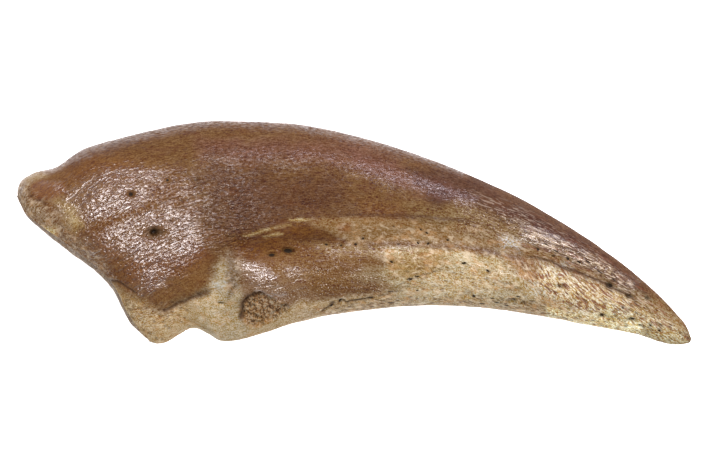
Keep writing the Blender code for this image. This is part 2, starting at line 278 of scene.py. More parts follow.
# Fields of pits: outline or None for everywhere, fibre turn, cell length and width, share of cells
# with a pit, pit radius in cells, depth.
PIT_FIELDS = (
    # rows of slits along the inner edge
    (((-4.1, -12.5), (21.7, -11.1), (38.4, -12.5), (45.9, -15.9), (46.2, -19.2), (-4.2, -17.3)), -4.0, 1.25, 0.62, 0.45, 0.28, 0.07),
    (((35.6, -12.5), (45.8, -14.0), (57.2, -15.4), (63.1, -21.1), (38.8, -21.1)), -14.0, 1.2, 0.7, 0.22, 0.28, 0.08),
    # slits between the fibres of the outer blade
    (((32.4, -5.5), (38.4, -5.5), (45.9, -8.8), (53.4, -12.6), (55.2, -16.3), (44.1, -15.9), (34.7, -12.5)), -44.0, 1.7, 0.62, 0.4, 0.30, 0.12),
    # pores of the tip
    (((45.8, -5.5), (63.1, -18.3), (63.1, -21.1), (49.8, -18.2), (45.8, -12.5)), -40.0, 1.3, 0.8, 0.25, 0.3, 0.12),
    # pores of the heel and the joint's edge
    (((-42.9, -11.6), (-34.4, -12.1), (-29.9, -13.4), (-30.4, -21.1), (-41.6, -21.1)), 20.0, 0.9, 0.7, 0.45, 0.33, 0.14),
)

# Ways that the fibres run where they leave the blade's own line: a point on them, their turn
# there, how fast they bend down as they go (per mm), how softly the way sets in, and where.
WAYS = {
    "rising": (
        (-43.3, 1.9),
        34.0,
        0.0125,
        2.0,
        ((-64.0, 15.4), (-44.7, 15.2), (-28.0, 12.2), (-23.5, 5.0), (-25.8, -5.5), (-34.4, -12.5), (-47.2, -14.5), (-65.9, -1.4)),
    ),
    "falling": (
        (43.9, -10.7),
        -44.0,
        -0.012,
        1.0,
        ((30.2, -3.3), (32.8, -4.4), (38.4, -5.9), (44.0, -8.1), (50.0, -11.1), (55.2, -15.6), (55.2, -17.4), (45.9, -15.5), (34.7, -13.3), (30.2, -9.7)),
    ),
}

# Wrinkles and furrows in the mesh: way, area (None for all over), size along and across, height.
WRINKLES = (
    ("rising", 1.5, ((-57.5, 7.8), (-49.3, 11.8), (-37.2, 13.3), (-25.8, 11.0), (-24.3, 3.1), (-26.1, -4.2), (-34.4, -12.5), (-45.1, -9.8), (-54.1, -0.5)), (3.4, 0.95), 0.06),
    ("rising", 1.5, ((-57.5, 7.8), (-49.3, 11.8), (-37.2, 13.3), (-25.8, 11.0), (-24.3, 3.1), (-26.1, -4.2), (-34.4, -12.5), (-45.1, -9.8), (-54.1, -0.5)), (6.0, 2.2), 0.12),
    ("main", 2.0, ((-65.9, 43.4), (65.0, 43.4), (65.0, -31.4), (-65.9, -31.4)), (7.0, 1.1), 0.02),
)
UNDULATIONS = ((8.0, 0.14), (2.8, 0.05), (1.1, 0.018))  # size, height
JOINT_ROUGHNESS = ((2.2, 0.16), (0.8, 0.08))

# Furrows between the fibres of the worn blade: way, softness, outline, size, share cut, depth.
FIBRE_FURROWS = (
    ("falling", 1.0, ((30.5, -3.7), (35.6, -5.5), (42.1, -8.1), (47.0, -10.3), (51.5, -12.9), (54.1, -15.9), (45.9, -15.1), (38.4, -13.3), (32.8, -9.9)), (3.4, 0.42), 0.3, 0.08),
    ("main", 1.0, ((30.9, 1.9), (38.4, -0.3), (45.9, -4.0), (52.7, -8.9), (57.2, -14.1), (52.6, -12.6), (45.8, -8.1), (38.4, -5.5), (30.9, -2.9)), (4.6, 0.36), 0.25, 0.08),
    ("main", 1.0, ((52.7, -8.9), (63.1, -18.3), (63.1, -21.1), (55.3, -18.2), (51.5, -13.5)), (2.6, 0.45), 0.35, 0.08),
)

# Patches where the gloss of the base is broken up most.
PATCH_ABOVE = ((-50.5, 3.7), (-49.4, 6.6), (-46.9, 8.4), (-42.5, 9.2), (-37.8, 9.0), (-37.4, 6.2), (-40.2, 4.4), (-44.9, 2.9), (-48.2, 1.5))
PATCH_MIDDLE = ((-45.6, -0.3), (-43.1, 1.7), (-37.7, 3.7), (-33.4, 4.2), (-29.7, 3.0), (-27.9, 0.0), (-27.9, -2.5), (-29.8, -4.5), (-34.1, -5.6), (-38.8, -5.6), (-42.4, -3.6), (-45.3, -1.8))
PATCH_BELOW = ((-40.7, -9.5), (-37.0, -6.2), (-33.4, -6.9), (-34.2, -9.9), (-38.6, -12.1))
PATCH_EDGE = ((-49.7, -1.1), (-46.4, -0.7), (-42.8, -3.3), (-43.9, -5.1), (-47.6, -4.4))
PATCH_TOP = ((-54.2, 4.8), (-51.7, 7.7), (-49.2, 9.6), (-45.9, 11.2), (-40.8, 11.8), (-34.9, 11.0), (-35.2, 9.6), (-42.6, 9.9), (-46.9, 8.4), (-49.8, 4.8), (-52.3, 2.2))
PATCH_GAP = ((-47.8, 1.1), (-44.2, 2.6), (-39.9, 4.0), (-37.0, 5.7), (-35.9, 5.0), (-39.5, 3.1), (-43.5, 1.5), (-46.4, 0.0))
KNOB_PATCH = ((-21.0, -6.6), (-19.9, -5.3), (-18.1, -5.3), (-15.1, -6.6), (-12.6, -9.5), (-11.9, -11.8), (-14.1, -12.3), (-16.6, -11.7), (-19.2, -9.9))

# Finishes of the surface, 0 to 1: for each, the value all over, then strength, softness, outline.
FACE_FINISH = {  # of the joint face
    "gloss": 0.3, "wrinkled": 0.25, "streaked": 0.6, "speckled": 0.8, "mottled": 0.6,
    "painted_glints": 0.25, "lined": 0.0, "pricked": 0.0, "slit": 0.3,
}
FINISHES = {
    "gloss": (
        0.10,
        (
            (0.41, 1.6, ((-2.3, 15.6), (8.8, 13.0), (23.2, 7.1), (22.4, 4.1), (8.8, 7.0), (-1.2, 11.4))),
            (0.32, 2.4, ((-28.8, 17.0), (-16.7, 18.2), (-1.4, 16.7), (8.8, 13.7), (8.8, 10.3), (-1.2, 12.2), (-11.5, 12.9), (-20.7, 12.9), (-28.0, 13.3))),
            (0.25, 1.5, ((-10.4, -1.4), (-1.4, -1.4), (8.8, -1.4), (21.7, -2.5), (33.2, -5.5), (32.4, -7.0), (19.8, -4.4), (5.1, -4.7), (-4.1, -4.4))),
            (0.36, 0.9, ((-63.3, 7.9), (-60.3, 13.5), (-50.9, 17.3), (-37.8, 21.4), (-24.8, 23.2), (-9.8, 22.5), (8.9, 17.6), (22.0, 13.1), (21.5, 10.2), (8.8, 14.5), (-9.7, 18.8), (-24.5, 19.7), (-38.2, 17.2), (-50.3, 13.3), (-58.9, 10.4), (-60.6, 7.0))),
            (0.08, 0.9, ((21.6, 13.5), (38.8, 4.5), (53.8, -7.1), (65.0, -19.2), (62.1, -18.2), (52.3, -9.1), (37.8, 1.5), (21.1, 10.2))),
            (0.22, 4.0, ((-31.6, 12.2), (-23.2, 11.8), (-16.6, 6.6), (-16.6, 1.5), (-21.4, -2.5), (-26.9, -5.8), (-29.7, -1.4))),
            (0.44, 2.8, ((-55.4, 4.8), (-53.6, 7.7), (-49.3, 11.1), (-44.5, 12.9), (-35.3, 12.5), (-28.3, 9.9), (-26.5, 5.9), (-26.8, 1.3), (-27.2, -1.8), (-29.0, -5.5), (-31.6, -8.8), (-35.7, -12.1), (-41.5, -10.2), (-49.2, -4.2), (-53.5, 0.8))),
            (0.88, 1.4, PATCH_ABOVE),
            (0.95, 1.8, PATCH_MIDDLE),
            (0.95, 0.8, PATCH_BELOW),
            (0.9, 0.8, PATCH_EDGE),
            (0.85, 0.8, PATCH_TOP),
            (0.25, 0.7, PATCH_GAP),
            (1.0, 0.8, KNOB_PATCH),
            (0.18, 1.6, ((-12.6, -5.5), (-4.1, -5.5), (8.0, -8.1), (8.1, -11.4), (-2.3, -12.5), (-9.7, -12.5))),
            (0.55, 1.0, ((-12.9, -6.6), (-10.4, -6.2), (-8.9, -8.8), (-8.6, -11.4), (-11.1, -11.8), (-12.6, -9.5))),
            (0.55, 1.2, ((-0.4, -7.3), (2.1, -6.2), (5.1, -7.3), (4.0, -9.6), (0.7, -9.6))),
            (0.85, 1.0, ((31.3, 1.5), (38.4, -0.7), (53.4, -9.2), (52.3, -11.1), (38.3, -4.4), (31.3, -2.2))),
            (0.8, 0.6, ((-59.5, 8.5), (-57.6, 9.6), (-53.7, 9.4), (-52.5, 7.7), (-55.0, 6.1), (-58.1, 6.1))),
            (0.05, 1.0, ((-28.4, -11.9), (-24.0, -6.9), (-21.4, -5.5), (-20.7, -14.7), (-16.9, -21.1), (-45.3, -22.0), (-44.8, -10.8), (-37.2, -14.7))),
            (0.25, 2.0, ((5.1, -5.1), (34.6, -6.6), (45.8, -12.5), (46.2, -19.2), (-11.7, -19.2), (-9.7, -13.3), (7.0, -12.2))),
        ),
    ),
    "wrinkled": (
        0.03,
        (
            (0.90, 3.0, ((-55.4, 4.8), (-53.7, 8.5), (-48.2, 12.2), (-37.2, 12.5), (-26.1, 11.0), (-16.6, 6.8), (-15.1, 1.3), (-21.4, -2.4), (-26.8, -3.3), (-31.3, -9.5), (-35.7, -11.7), (-41.8, -9.9), (-48.7, -3.6), (-53.8, 0.8))),
            (0.8, 1.0, PATCH_TOP),
            (0.85, 1.2, PATCH_ABOVE),
            (0.85, 1.2, PATCH_MIDDLE),
            (0.85, 0.8, PATCH_EDGE),
            (0.9, 0.8, PATCH_BELOW),
            (0.5, 0.8, KNOB_PATCH),
            (0.30, 1.2, ((-14.0, -5.5), (-4.1, -5.5), (8.0, -8.1), (8.1, -11.4), (-2.3, -12.5), (-9.7, -12.5))),
            (0.3, 1.0, ((18.9, 5.6), (31.0, 3.2), (32.7, -1.1), (21.6, -0.5))),
            (0.25, 1.0, ((31.3, 1.5), (38.4, -0.7), (53.4, -9.2), (52.3, -11.1), (38.3, -4.4), (31.3, -2.2))),
        ),
    ),
    "streaked": (
        1.0,
        (
            (0.5, 1.5, ((-64.0, 15.4), (-44.6, 13.3), (-28.0, 10.3), (-24.3, 3.1), (-26.5, -5.5), (-34.4, -12.5), (-47.2, -14.5), (-65.9, -1.4))),
            (0.3, 1.5, ((-28.4, -11.9), (-23.9, -4.7), (-9.6, -5.5), (5.1, -5.5), (7.9, -10.7), (-11.7, -21.1), (-45.3, -22.0))),
            (0.45, 1.5, ((5.5, -2.9), (30.9, -5.5), (34.8, -13.7), (8.9, -13.7), (5.5, -8.8))),
            (0.6, 1.2, ((-8.1, 2.1), (-1.2, 2.6), (10.6, 2.1), (19.8, 1.1), (30.9, -2.2), (30.9, -5.1), (19.8, -2.2), (8.8, -1.6), (-0.4, -1.6), (-4.1, -0.7))),
            (1.5, 1.2, ((27.3, 5.0), (38.5, 1.2), (47.8, -4.8), (55.3, -11.1), (53.4, -13.0), (45.8, -6.3), (38.4, -1.4), (27.2, 1.9))),
            (2.2, 0.8, ((31.6, 1.1), (38.4, -1.1), (45.9, -4.8), (52.3, -9.6), (51.1, -11.1), (45.1, -7.0), (38.3, -4.0), (32.0, -1.8))),
        ),
    ),
    "speckled": (
        0.25,
        (
            (0.35, 2.0, ((-27.0, 9.6), (-16.6, 7.7), (-2.3, 5.9), (-2.3, 1.3), (-16.6, -1.4), (-26.5, -5.5))),
            (1.0, 1.5, ((19.1, 5.9), (27.3, 5.0), (32.8, 1.9), (33.5, -2.9), (27.2, -2.4), (18.0, -0.5))),
            (0.5, 1.5, ((32.8, 1.9), (38.4, 0.4), (53.5, -8.9), (65.0, -21.1), (38.8, -18.3), (31.0, -12.5), (29.1, -4.2))),
            (0.7, 1.5, ((-21.4, -5.5), (-9.6, -5.5), (8.0, -8.1), (8.1, -11.8), (-13.5, -18.3), (-20.7, -12.5))),
            (0.45, 1.0, ((5.5, -3.3), (30.9, -5.5), (38.5, -14.4), (-9.8, -19.2), (-9.7, -13.5), (7.0, -11.8))),
            (0.5, 1.0, ((-43.0, -10.7), (-34.4, -12.5), (-29.9, -14.3), (-30.4, -22.0), (-41.6, -18.3))),
            (1.0, 0.8, ((-62.9, 10.1), (-59.5, 8.9), (-57.3, 5.5), (-55.4, 4.8), (-52.3, 0.0), (-49.0, -2.9), (-44.7, -6.6), (-43.4, -10.0), (-47.2, -11.2), (-54.7, -4.4), (-63.3, 2.3))),
        ),
    ),
    "mottled": (
        0.04,
        (
            (0.9, 1.5, ((5.5, -2.5), (21.7, -2.5), (32.8, -5.5), (38.4, -12.5), (53.4, -17.2), (46.2, -19.2), (22.0, -14.5), (-9.8, -17.3), (-9.7, -13.3), (8.4, -10.7), (5.8, -7.0))),
            (0.6, 1.5, ((-28.4, -11.9), (-23.9, -5.5), (-20.6, -4.7), (-20.7, -14.7), (-16.9, -21.1), (-45.3, -22.0), (-44.8, -10.8), (-37.2, -14.7))),
            (0.7, 1.5, ((-2.3, 1.9), (16.1, 1.5), (32.7, -1.4), (32.8, -4.4), (16.1, -2.0), (-2.3, -1.8))),
            (0.6, 1.5, ((-62.9, 10.1), (-59.5, 8.9), (-55.4, 4.8), (-52.3, 1.1), (-47.9, -2.2), (-42.9, -8.8), (-47.2, -11.2), (-54.7, -4.4), (-63.3, 2.3))),
        ),
    ),
    # painted glints: pale specks that stand for the sparkle of the coat on pit rims
    "painted_glints": (
        0.0,
        (
            (0.22, 3.0, ((-28.6, 13.3), (-18.8, 10.3), (-16.6, 1.1), (-21.4, -3.3), (-27.9, -5.1), (-29.7, 5.9))),
            (0.5, 2.0, ((-16.6, -5.8), (-9.6, -5.5), (-1.4, -5.9), (8.0, -6.6), (8.8, -11.1), (-2.3, -12.9), (-11.6, -15.9), (-16.6, -12.5))),
            (0.25, 1.5, ((-11.5, -1.8), (8.0, -3.3), (5.8, -6.6), (-9.6, -5.5))),
            (0.5, 1.5, ((19.1, 5.2), (27.2, 4.5), (32.8, 1.9), (33.5, -2.5), (27.2, -1.4), (19.8, 1.1))),
            (0.30, 1.0, ((-23.6, -3.6), (-19.2, -3.3), (-19.9, -11.0), (-22.9, -12.5))),
            (0.35, 1.5, ((-40.8, -11.7), (-34.5, -14.7), (-30.0, -15.9), (-32.2, -20.1), (-39.1, -16.5))),
            (0.35, 1.2, ((10.6, -5.5), (27.2, -6.6), (30.9, -10.7), (12.5, -11.8))),
            (0.30, 1.0, ((-62.9, 10.1), (-59.5, 8.9), (-55.4, 4.8), (-52.3, 1.1), (-47.9, -2.2), (-42.9, -8.8), (-47.2, -11.2), (-54.7, -4.4), (-63.3, 2.3))),
        ),
    ),
    "lined": (
        0.0,
        (
            (0.35, 1.0, ((21.7, 7.8), (31.1, 5.0), (45.9, -3.7), (57.2, -14.5), (62.9, -19.3), (57.2, -16.7), (45.8, -6.6), (34.6, 0.0), (23.5, 4.5))),
            (1.0, 0.5, ((32.0, 1.1), (37.6, -0.5), (45.9, -4.8), (52.3, -9.6), (51.1, -11.3), (45.1, -7.4), (38.3, -4.4), (34.6, -3.3), (31.6, -1.1))),
            (0.45, 1.0, ((34.6, -3.3), (45.8, -8.1), (55.3, -13.7), (60.9, -18.2), (53.3, -16.6), (45.8, -11.8), (38.4, -7.4), (32.8, -4.8))),
            (0.30, 1.5, ((19.1, 4.8), (32.0, 1.5), (32.8, -4.4), (21.7, -1.4))),
        ),
    ),
    "pricked": (
        0.0,
        (
            (0.75, 0.8, ((4.4, -12.0), (21.8, -11.6), (32.8, -12.2), (38.4, -13.7), (53.3, -16.6), (57.5, -21.1), (38.8, -20.1), (8.9, -15.3), (-4.2, -16.8), (-4.1, -13.7))),
            (0.5, 1.0, ((8.8, -5.5), (27.2, -6.6), (32.8, -10.7), (21.8, -11.8), (8.8, -11.1))),
            (0.6, 0.8, ((45.8, -11.8), (53.4, -13.7), (63.1, -18.3), (63.9, -22.0), (49.8, -18.2))),
        ),
    ),
    "slit": (
        0.0,
        (
            (1.0, 0.8, ((31.7, -5.1), (35.6, -5.9), (42.1, -8.1), (47.0, -10.3), (51.5, -12.9), (54.1, -15.9), (45.9, -15.5), (38.4, -13.7), (33.5, -10.3))),
            (1.0, 0.6, ((31.6, 1.1), (38.4, -1.1), (45.9, -4.8), (52.3, -9.6), (51.1, -11.1), (45.1, -7.0), (38.3, -4.0), (32.0, -1.8))),
            (0.7, 0.8, ((32.4, -1.4), (38.3, -3.3), (45.8, -7.4), (53.4, -12.6), (62.9, -19.1), (63.1, -21.1), (53.3, -16.6), (45.8, -10.0), (38.4, -6.2))),
            (0.35, 0.8, ((-9.7, -14.8), (8.8, -12.2), (21.8, -12.6), (36.6, -13.7), (53.3, -17.0), (53.7, -19.4), (40.6, -17.5), (8.9, -14.9), (-9.8, -17.3))),
            (0.5, 0.8, ((-42.2, -10.6), (-34.4, -12.5), (-32.6, -16.2), (-37.4, -18.1), (-41.8, -16.0))),
            (0.25, 1.5, ((8.8, -2.4), (30.9, -4.8), (34.7, -12.5), (8.8, -11.8))),
        ),
    ),
}

# --- Colours ---

PIGMENTS = {  # sRGB, 0 to 255
    "mahogany": (82, 55, 23),
    "umber": (57, 26, 11),
    # also laid on as a painted sheen along the outer curve
    "mauve_and_sheen": (81, 48, 34),
    "chestnut": (87, 55, 19),
    "rust": (83, 43, 3),
    "lens_red": (78, 44, 3),
    "rim_grey": (67, 36, 14),
    "joint_grey": (110, 89, 62),
    "lip_tan": (93, 52, 3),
    # a painted highlight, on the lip
    "lip_highlight": (125, 104, 69),
    "side_tan": (213, 195, 135),
    "heel_tan": (150, 129, 91),
    "cream": (143, 129, 99),
    "pale_cream": (146, 141, 123),
    "smoke": (75, 55, 40),
    "knob_brown": (103, 78, 53),
    "plum_brown": (94, 65, 29),
    "groove_tan": (117, 92, 58),
    "stain_yellow": (96, 52, 3),
    "flank": (145, 130, 95),
    "flank_orange": (121, 94, 45),
    "flank_light": (170, 153, 117),
    "edge_pale": (202, 190, 143),
    "shell_grey": (186, 186, 172),
    "band_tan": (144, 124, 88),
    "olive": (99, 79, 45),
    "outer_brown": (52, 23, 13),
    "outer_red": (43, 4, 3),
    "ridge_grey": (127, 101, 62),
    "fibre_cream": (167, 151, 115),
    "fibre_red": (102, 73, 50),
    "tip_brown": (130, 111, 75),
    "tip_tan": (157, 146, 109),
    "reed_grey": (171, 163, 123),
    # painted shade in the holes' cores
    "painted_pore_shade": (36, 26, 16),
    "pore_brown": (62, 40, 22),
    "furrow_red": (104, 62, 40),
    "slit_brown": (78, 54, 36),
    "marrow_tan": (138, 107, 69),
    "funnel_tan": (84, 62, 38),
    # pale fibre lines, partly a painted highlight
    "line_pale_and_highlight": (214, 198, 178),
    "mottle_tan": (168, 128, 82),
    "mottle_pale": (205, 190, 162),
    # painted glints
    "painted_glint_white": (222, 210, 192),
}

# Stains, laid on in order: pigment, strength, softness of the edge in mm, outline.
STAINS = (
    # joint end
    ("chestnut", 0.9, 3.0, ((-62.2, 13.5), (-48.6, 15.2), (-29.8, 11.8), (-25.2, 5.9), (-24.6, -3.3), (-27.1, -9.7), (-33.6, -13.4), (-45.3, -10.8), (-64.0, 6.0))),
    ("mahogany", 0.8, 2.5, ((-36.0, 21.0), (-4.2, 22.9), (-4.1, 3.2), (-18.8, -1.4), (-23.4, -5.5), (-27.0, -1.4), (-28.8, 7.7), (-33.5, 12.3))),
    # a dark umber zone where the flank curves in above the claw groove: partly the bone's dark tone, partly painted
    # shade
    ("umber", 0.6, 4.5, ((-25.2, 12.3), (-9.6, 9.6), (-1.4, 10.5), (-1.4, 3.7), (-11.4, 1.9), (-21.6, -1.4), (-25.2, -0.5))),
    ("umber", 0.4, 4.0, ((-27.0, 9.6), (-16.6, 15.1), (-16.6, 10.5), (-22.4, 3.1))),
    ("side_tan", 0.25, 1.6, ((-54.3, 5.9), (-50.9, 4.8), (-48.9, 1.1), (-50.4, 0.0), (-52.7, 1.9))),
    ("joint_grey", 0.5, 1.2, ((-55.0, 6.3), (-52.3, 4.1), (-50.8, 0.0), (-48.3, -3.3), (-46.0, -6.6), (-47.4, -7.4), (-52.5, -2.9), (-55.7, 0.8))),
    ("rust", 0.55, 1.4, ((-46.7, -1.4), (-42.7, -2.5), (-42.4, -4.7), (-45.4, -4.7))),
    ("rust", 0.55, 1.8, ((-41.0, -4.7), (-30.6, -3.3), (-25.7, -1.4), (-25.4, -4.7), (-31.6, -7.8), (-38.9, -9.7), (-41.4, -7.8))),
    ("rust", 0.35, 2.0, ((-54.1, 12.4), (-40.9, 13.3), (-37.1, 11.0), (-48.1, 9.6), (-53.3, 8.7))),
    # a painted highlight on the lip's rounded top
    ("lip_highlight", 0.8, 0.7, ((-61.8, 10.1), (-60.3, 12.0), (-57.1, 11.3), (-56.6, 10.4), (-59.6, 9.3), (-60.2, 7.8), (-61.5, 7.4))),
    ("lip_tan", 0.95, 0.7, ((-59.5, 8.7), (-57.6, 9.6), (-53.3, 9.0), (-52.5, 7.7), (-55.0, 6.1), (-58.1, 6.1))),
    ("joint_grey", 0.95, 0.6, ((-64.0, 10.5), (-60.9, 9.7), (-59.3, 6.3), (-56.9, 5.5), (-55.0, 1.9), (-53.4, -1.4), (-54.6, -2.9), (-64.0, 0.4))),
    ("side_tan", 0.4, 0.8, ((-57.4, 0.8), (-54.6, 0.8), (-54.4, -1.4), (-56.2, -2.2))),
    ("joint_grey", 0.9, 0.6, ((-54.4, -1.4), (-50.2, -4.4), (-47.0, -7.4), (-44.3, -9.6), (-47.2, -11.9), (-56.5, -3.3))),
    ("funnel_tan", 0.85, 0.25, ((-37.6, -0.7), (-37.0, 0.3), (-35.9, 0.8), (-35.0, 0.4), (-34.3, -0.3), (-35.2, -1.2), (-36.3, -1.5), (-37.2, -1.3))),
    # heel and valley
    ("plum_brown", 0.8, 1.2, ((-33.8, -9.1), (-27.1, -6.6), (-25.5, -9.5), (-27.3, -11.4), (-31.8, -12.9), (-34.7, -13.6), (-37.1, -11.7))),
    ("heel_tan", 0.95, 1.3, ((-45.6, -9.6), (-42.2, -10.2), (-39.7, -12.4), (-37.2, -13.9), (-34.0, -14.7), (-30.7, -13.2), (-27.0, -11.9), (-27.4, -22.0), (-45.3, -22.0))),
    ("plum_brown", 0.15, 1.4, ((-44.7, -9.6), (-39.6, -11.3), (-35.7, -12.8), (-32.5, -13.4), (-34.0, -15.5), (-37.9, -15.0), (-42.1, -13.0))),
    ("cream", 0.95, 1.5, ((-28.4, -11.9), (-25.8, -9.2), (-24.7, -6.6), (-22.1, -4.4), (-19.5, -4.7), (-20.6, -8.8), (-19.6, -11.7), (-20.7, -14.7), (-19.7, -17.4), (-16.8, -18.6), (-16.9, -21.1), (-29.2, -21.1))),
    ("smoke", 0.75, 0.9, ((-23.2, -4.7), (-21.4, -2.9), (-19.2, -4.0), (-19.9, -6.9), (-21.0, -10.6), (-22.9, -12.5), (-23.2, -8.8))),
    ("pale_cream", 0.7, 0.8, ((-25.5, -9.5), (-23.2, -9.0), (-22.9, -10.8), (-25.2, -11.0))),
    # knob
    ("band_tan", 0.9, 1.0, ((-19.3, -15.5), (-10.4, -14.4), (-9.8, -21.6), (-19.9, -21.6))),
    ("knob_brown", 0.9, 1.0, ((-21.0, -5.5), (-16.6, -4.4), (-9.6, -4.7), (-6.0, -12.5), (-9.7, -13.6), (-12.7, -15.5), (-15.3, -15.9), (-19.6, -12.5))),
    ("marrow_tan", 0.95, 0.4, ((-20.7, -14.7), (-20.5, -13.4), (-19.6, -12.3), (-18.1, -11.6), (-16.6, -11.3), (-15.3, -11.9), (-13.9, -12.7), (-12.6, -13.3), (-11.9, -14.2), (-12.5, -15.3), (-14.0, -16.1), (-15.6, -16.8), (-17.1, -17.6), (-18.3, -18.1), (-19.5, -17.4), (-20.4, -16.2))),
    # outer curve
    ("rim_grey", 0.55, 1.2, ((-54.7, 14.4), (-39.7, 19.5), (-24.8, 22.5), (-9.8, 21.9), (8.9, 17.3), (22.0, 12.6), (38.8, 3.8), (53.8, -8.0), (52.5, -8.9), (37.7, 1.3), (21.4, 9.7), (8.8, 14.1), (-9.7, 18.8), (-24.5, 19.7), (-39.2, 16.7), (-52.1, 12.2))),
    # the next two bands along the outer curve: partly the bone's mauve tone, partly a painted sheen
    ("mauve_and_sheen", 0.65, 2.0, ((-28.8, 16.6), (-20.7, 17.2), (-1.4, 17.1), (8.8, 14.1), (8.8, 11.1), (-1.4, 12.9), (-16.6, 13.3), (-21.0, 13.3), (-28.0, 13.3))),
    ("mauve_and_sheen", 0.6, 1.0, ((-0.1, 14.8), (8.8, 12.4), (16.2, 9.6), (23.2, 6.3), (22.4, 4.8), (16.1, 6.1), (8.8, 8.5), (0.7, 11.8))),
    ("outer_brown", 0.7, 1.5, ((10.6, 12.4), (21.9, 10.7), (38.5, 1.3), (53.5, -8.9), (58.1, -15.4), (53.4, -12.6), (45.8, -5.5), (34.6, 0.0), (23.5, 4.5), (14.3, 5.0))),
    ("outer_red", 0.6, 1.2, ((27.3, 5.0), (38.5, 0.8), (47.8, -5.5), (55.3, -11.8), (53.4, -13.0), (45.8, -6.6), (38.3, -2.2), (27.2, 1.9))),
    # claw groove
    ("lens_red", 0.85, 0.9, ((-22.1, -1.4), (-16.6, 0.6), (-11.4, 2.1), (-8.9, 1.9), (-6.7, 0.8), (-3.7, -0.6), (-0.4, -1.7), (-4.1, -2.5), (-9.6, -4.0), (-16.6, -5.1), (-21.4, -4.7))),
    ("rust", 0.5, 0.9, ((-14.8, -1.4), (-9.6, -1.4), (-8.5, -2.9), (-14.0, -3.3))),
    ("side_tan", 0.35, 0.3, ((-16.6, -0.7), (-13.3, -0.2), (-12.4, -0.4), (-15.9, -1.1))),
    ("side_tan", 0.35, 0.3, ((-11.8, 2.3), (-8.9, 2.5), (-7.0, 2.2), (-8.9, 2.0), (-11.4, 2.0))),
    ("side_tan", 0.25, 0.3, ((-19.9, -0.7), (-16.6, 0.6), (-11.4, 1.5), (-11.4, 1.2), (-16.2, 0.2), (-19.5, -1.1))),
    ("groove_tan", 0.9, 0.6, ((-8.1, 2.1), (-1.2, 2.7), (5.4, 2.8), (10.6, 2.1), (19.8, 1.5), (30.9, -1.4), (30.9, -3.3), (19.8, -2.0), (8.8, -1.6), (-0.1, -1.7), (-3.4, -0.4), (-7.0, 1.0))),
    ("stain_yellow", 0.8, 0.8, ((-2.6, 1.5), (-0.4, 1.5), (-0.4, -0.1), (-2.6, -0.1))),
    ("stain_yellow", 0.3, 1.6, ((1.4, 5.0), (8.7, 5.0), (8.7, 3.0), (1.8, 3.0))),
    ("olive", 0.7, 1.5, ((10.6, 5.0), (21.7, 4.8), (30.9, 1.9), (34.6, -1.1), (30.9, -2.2), (21.6, 0.8), (12.4, 2.2))),
    ("plum_brown", 0.75, 2.2, ((-11.5, -1.4), (-1.4, -1.8), (8.0, -3.3), (5.1, -5.5), (3.6, -7.7), (1.0, -9.6), (-2.3, -11.8), (-7.8, -12.5), (-16.6, -10.6), (-17.7, -5.5))),
    ("rust", 0.35, 0.8, ((5.1, -2.5), (8.8, -2.5), (9.1, -3.8), (5.8, -3.6))),
    ("plum_brown", 0.6, 0.6, ((15.0, -3.3), (16.5, -3.1), (18.2, -3.8), (17.2, -4.6), (15.4, -4.4))),
    ("side_tan", 0.08, 1.2, ((-7.4, -2.2), (-1.4, -2.0), (5.5, -2.4), (5.1, -4.0), (-2.3, -4.0), (-6.7, -3.3))),
    # flank of the blade
    ("band_tan", 0.9, 0.8, ((-12.3, -14.8), (-9.7, -13.1), (-2.3, -12.4), (5.1, -11.4), (8.8, -10.7), (21.8, -12.6), (38.5, -14.4), (38.8, -18.3), (-13.5, -19.2))),
    ("flank", 0.95, 1.8, ((6.6, -2.5), (21.7, -2.5), (32.8, -5.5), (38.4, -12.5), (34.8, -13.7), (21.9, -13.3), (8.8, -13.0), (8.8, -10.7), (6.2, -9.6), (7.7, -8.1), (5.6, -7.0), (7.3, -5.5), (5.5, -4.0))),
    ("flank", 0.32, 1.4, ((-0.4, -8.3), (2.1, -6.6), (6.2, -6.6), (6.9, -9.9), (2.5, -9.7))),
    ("plum_brown", 0.5, 0.9, ((-1.9, -9.5), (6.6, -9.0), (7.7, -10.1), (5.5, -11.1), (-1.5, -11.2))),
    ("flank_orange", 0.8, 1.2, ((6.6, -4.7), (14.3, -3.3), (18.0, -4.7), (16.1, -7.3), (8.8, -8.4))),
    ("flank_light", 0.7, 1.5, ((13.4, -8.1), (23.5, -7.0), (27.2, -9.2), (23.6, -12.2), (14.4, -12.2))),
    # a pale grey-lilac spot that is a painted highlight
    ("shell_grey", 0.5, 1.4, ((27.5, -1.1), (30.9, -1.8), (30.9, -3.7), (27.6, -3.3))),
    ("shell_grey", 0.28, 1.6, ((32.4, -8.4), (36.1, -9.9), (36.5, -12.2), (32.8, -11.8))),
    ("mauve_and_sheen", 0.45, 0.4, ((5.1, -1.6), (19.8, -2.2), (26.3, -3.3), (32.8, -5.5), (32.4, -6.2), (26.3, -4.4), (19.8, -3.3), (5.1, -2.5))),
    ("fibre_red", 0.6, 1.2, ((28.7, -3.7), (32.8, -4.8), (35.8, -7.3), (34.6, -9.6), (30.9, -8.4), (28.7, -5.9))),
    # outer blade
    ("olive", 0.6, 1.2, ((30.9, -0.3), (38.3, -2.5), (47.7, -7.4), (53.4, -12.6), (45.9, -9.6), (38.4, -6.6), (32.0, -5.5))),
    ("groove_tan", 0.7, 0.9, ((31.6, -2.2), (38.3, -3.7), (45.8, -8.1), (48.1, -10.3), (42.1, -8.1), (35.6, -5.9), (32.0, -5.1))),
    ("ridge_grey", 0.6, 0.7, ((32.0, 1.1), (38.4, -1.4), (45.9, -4.8), (51.9, -9.2), (50.7, -10.0), (45.1, -6.6), (38.3, -3.3), (32.4, -0.7))),
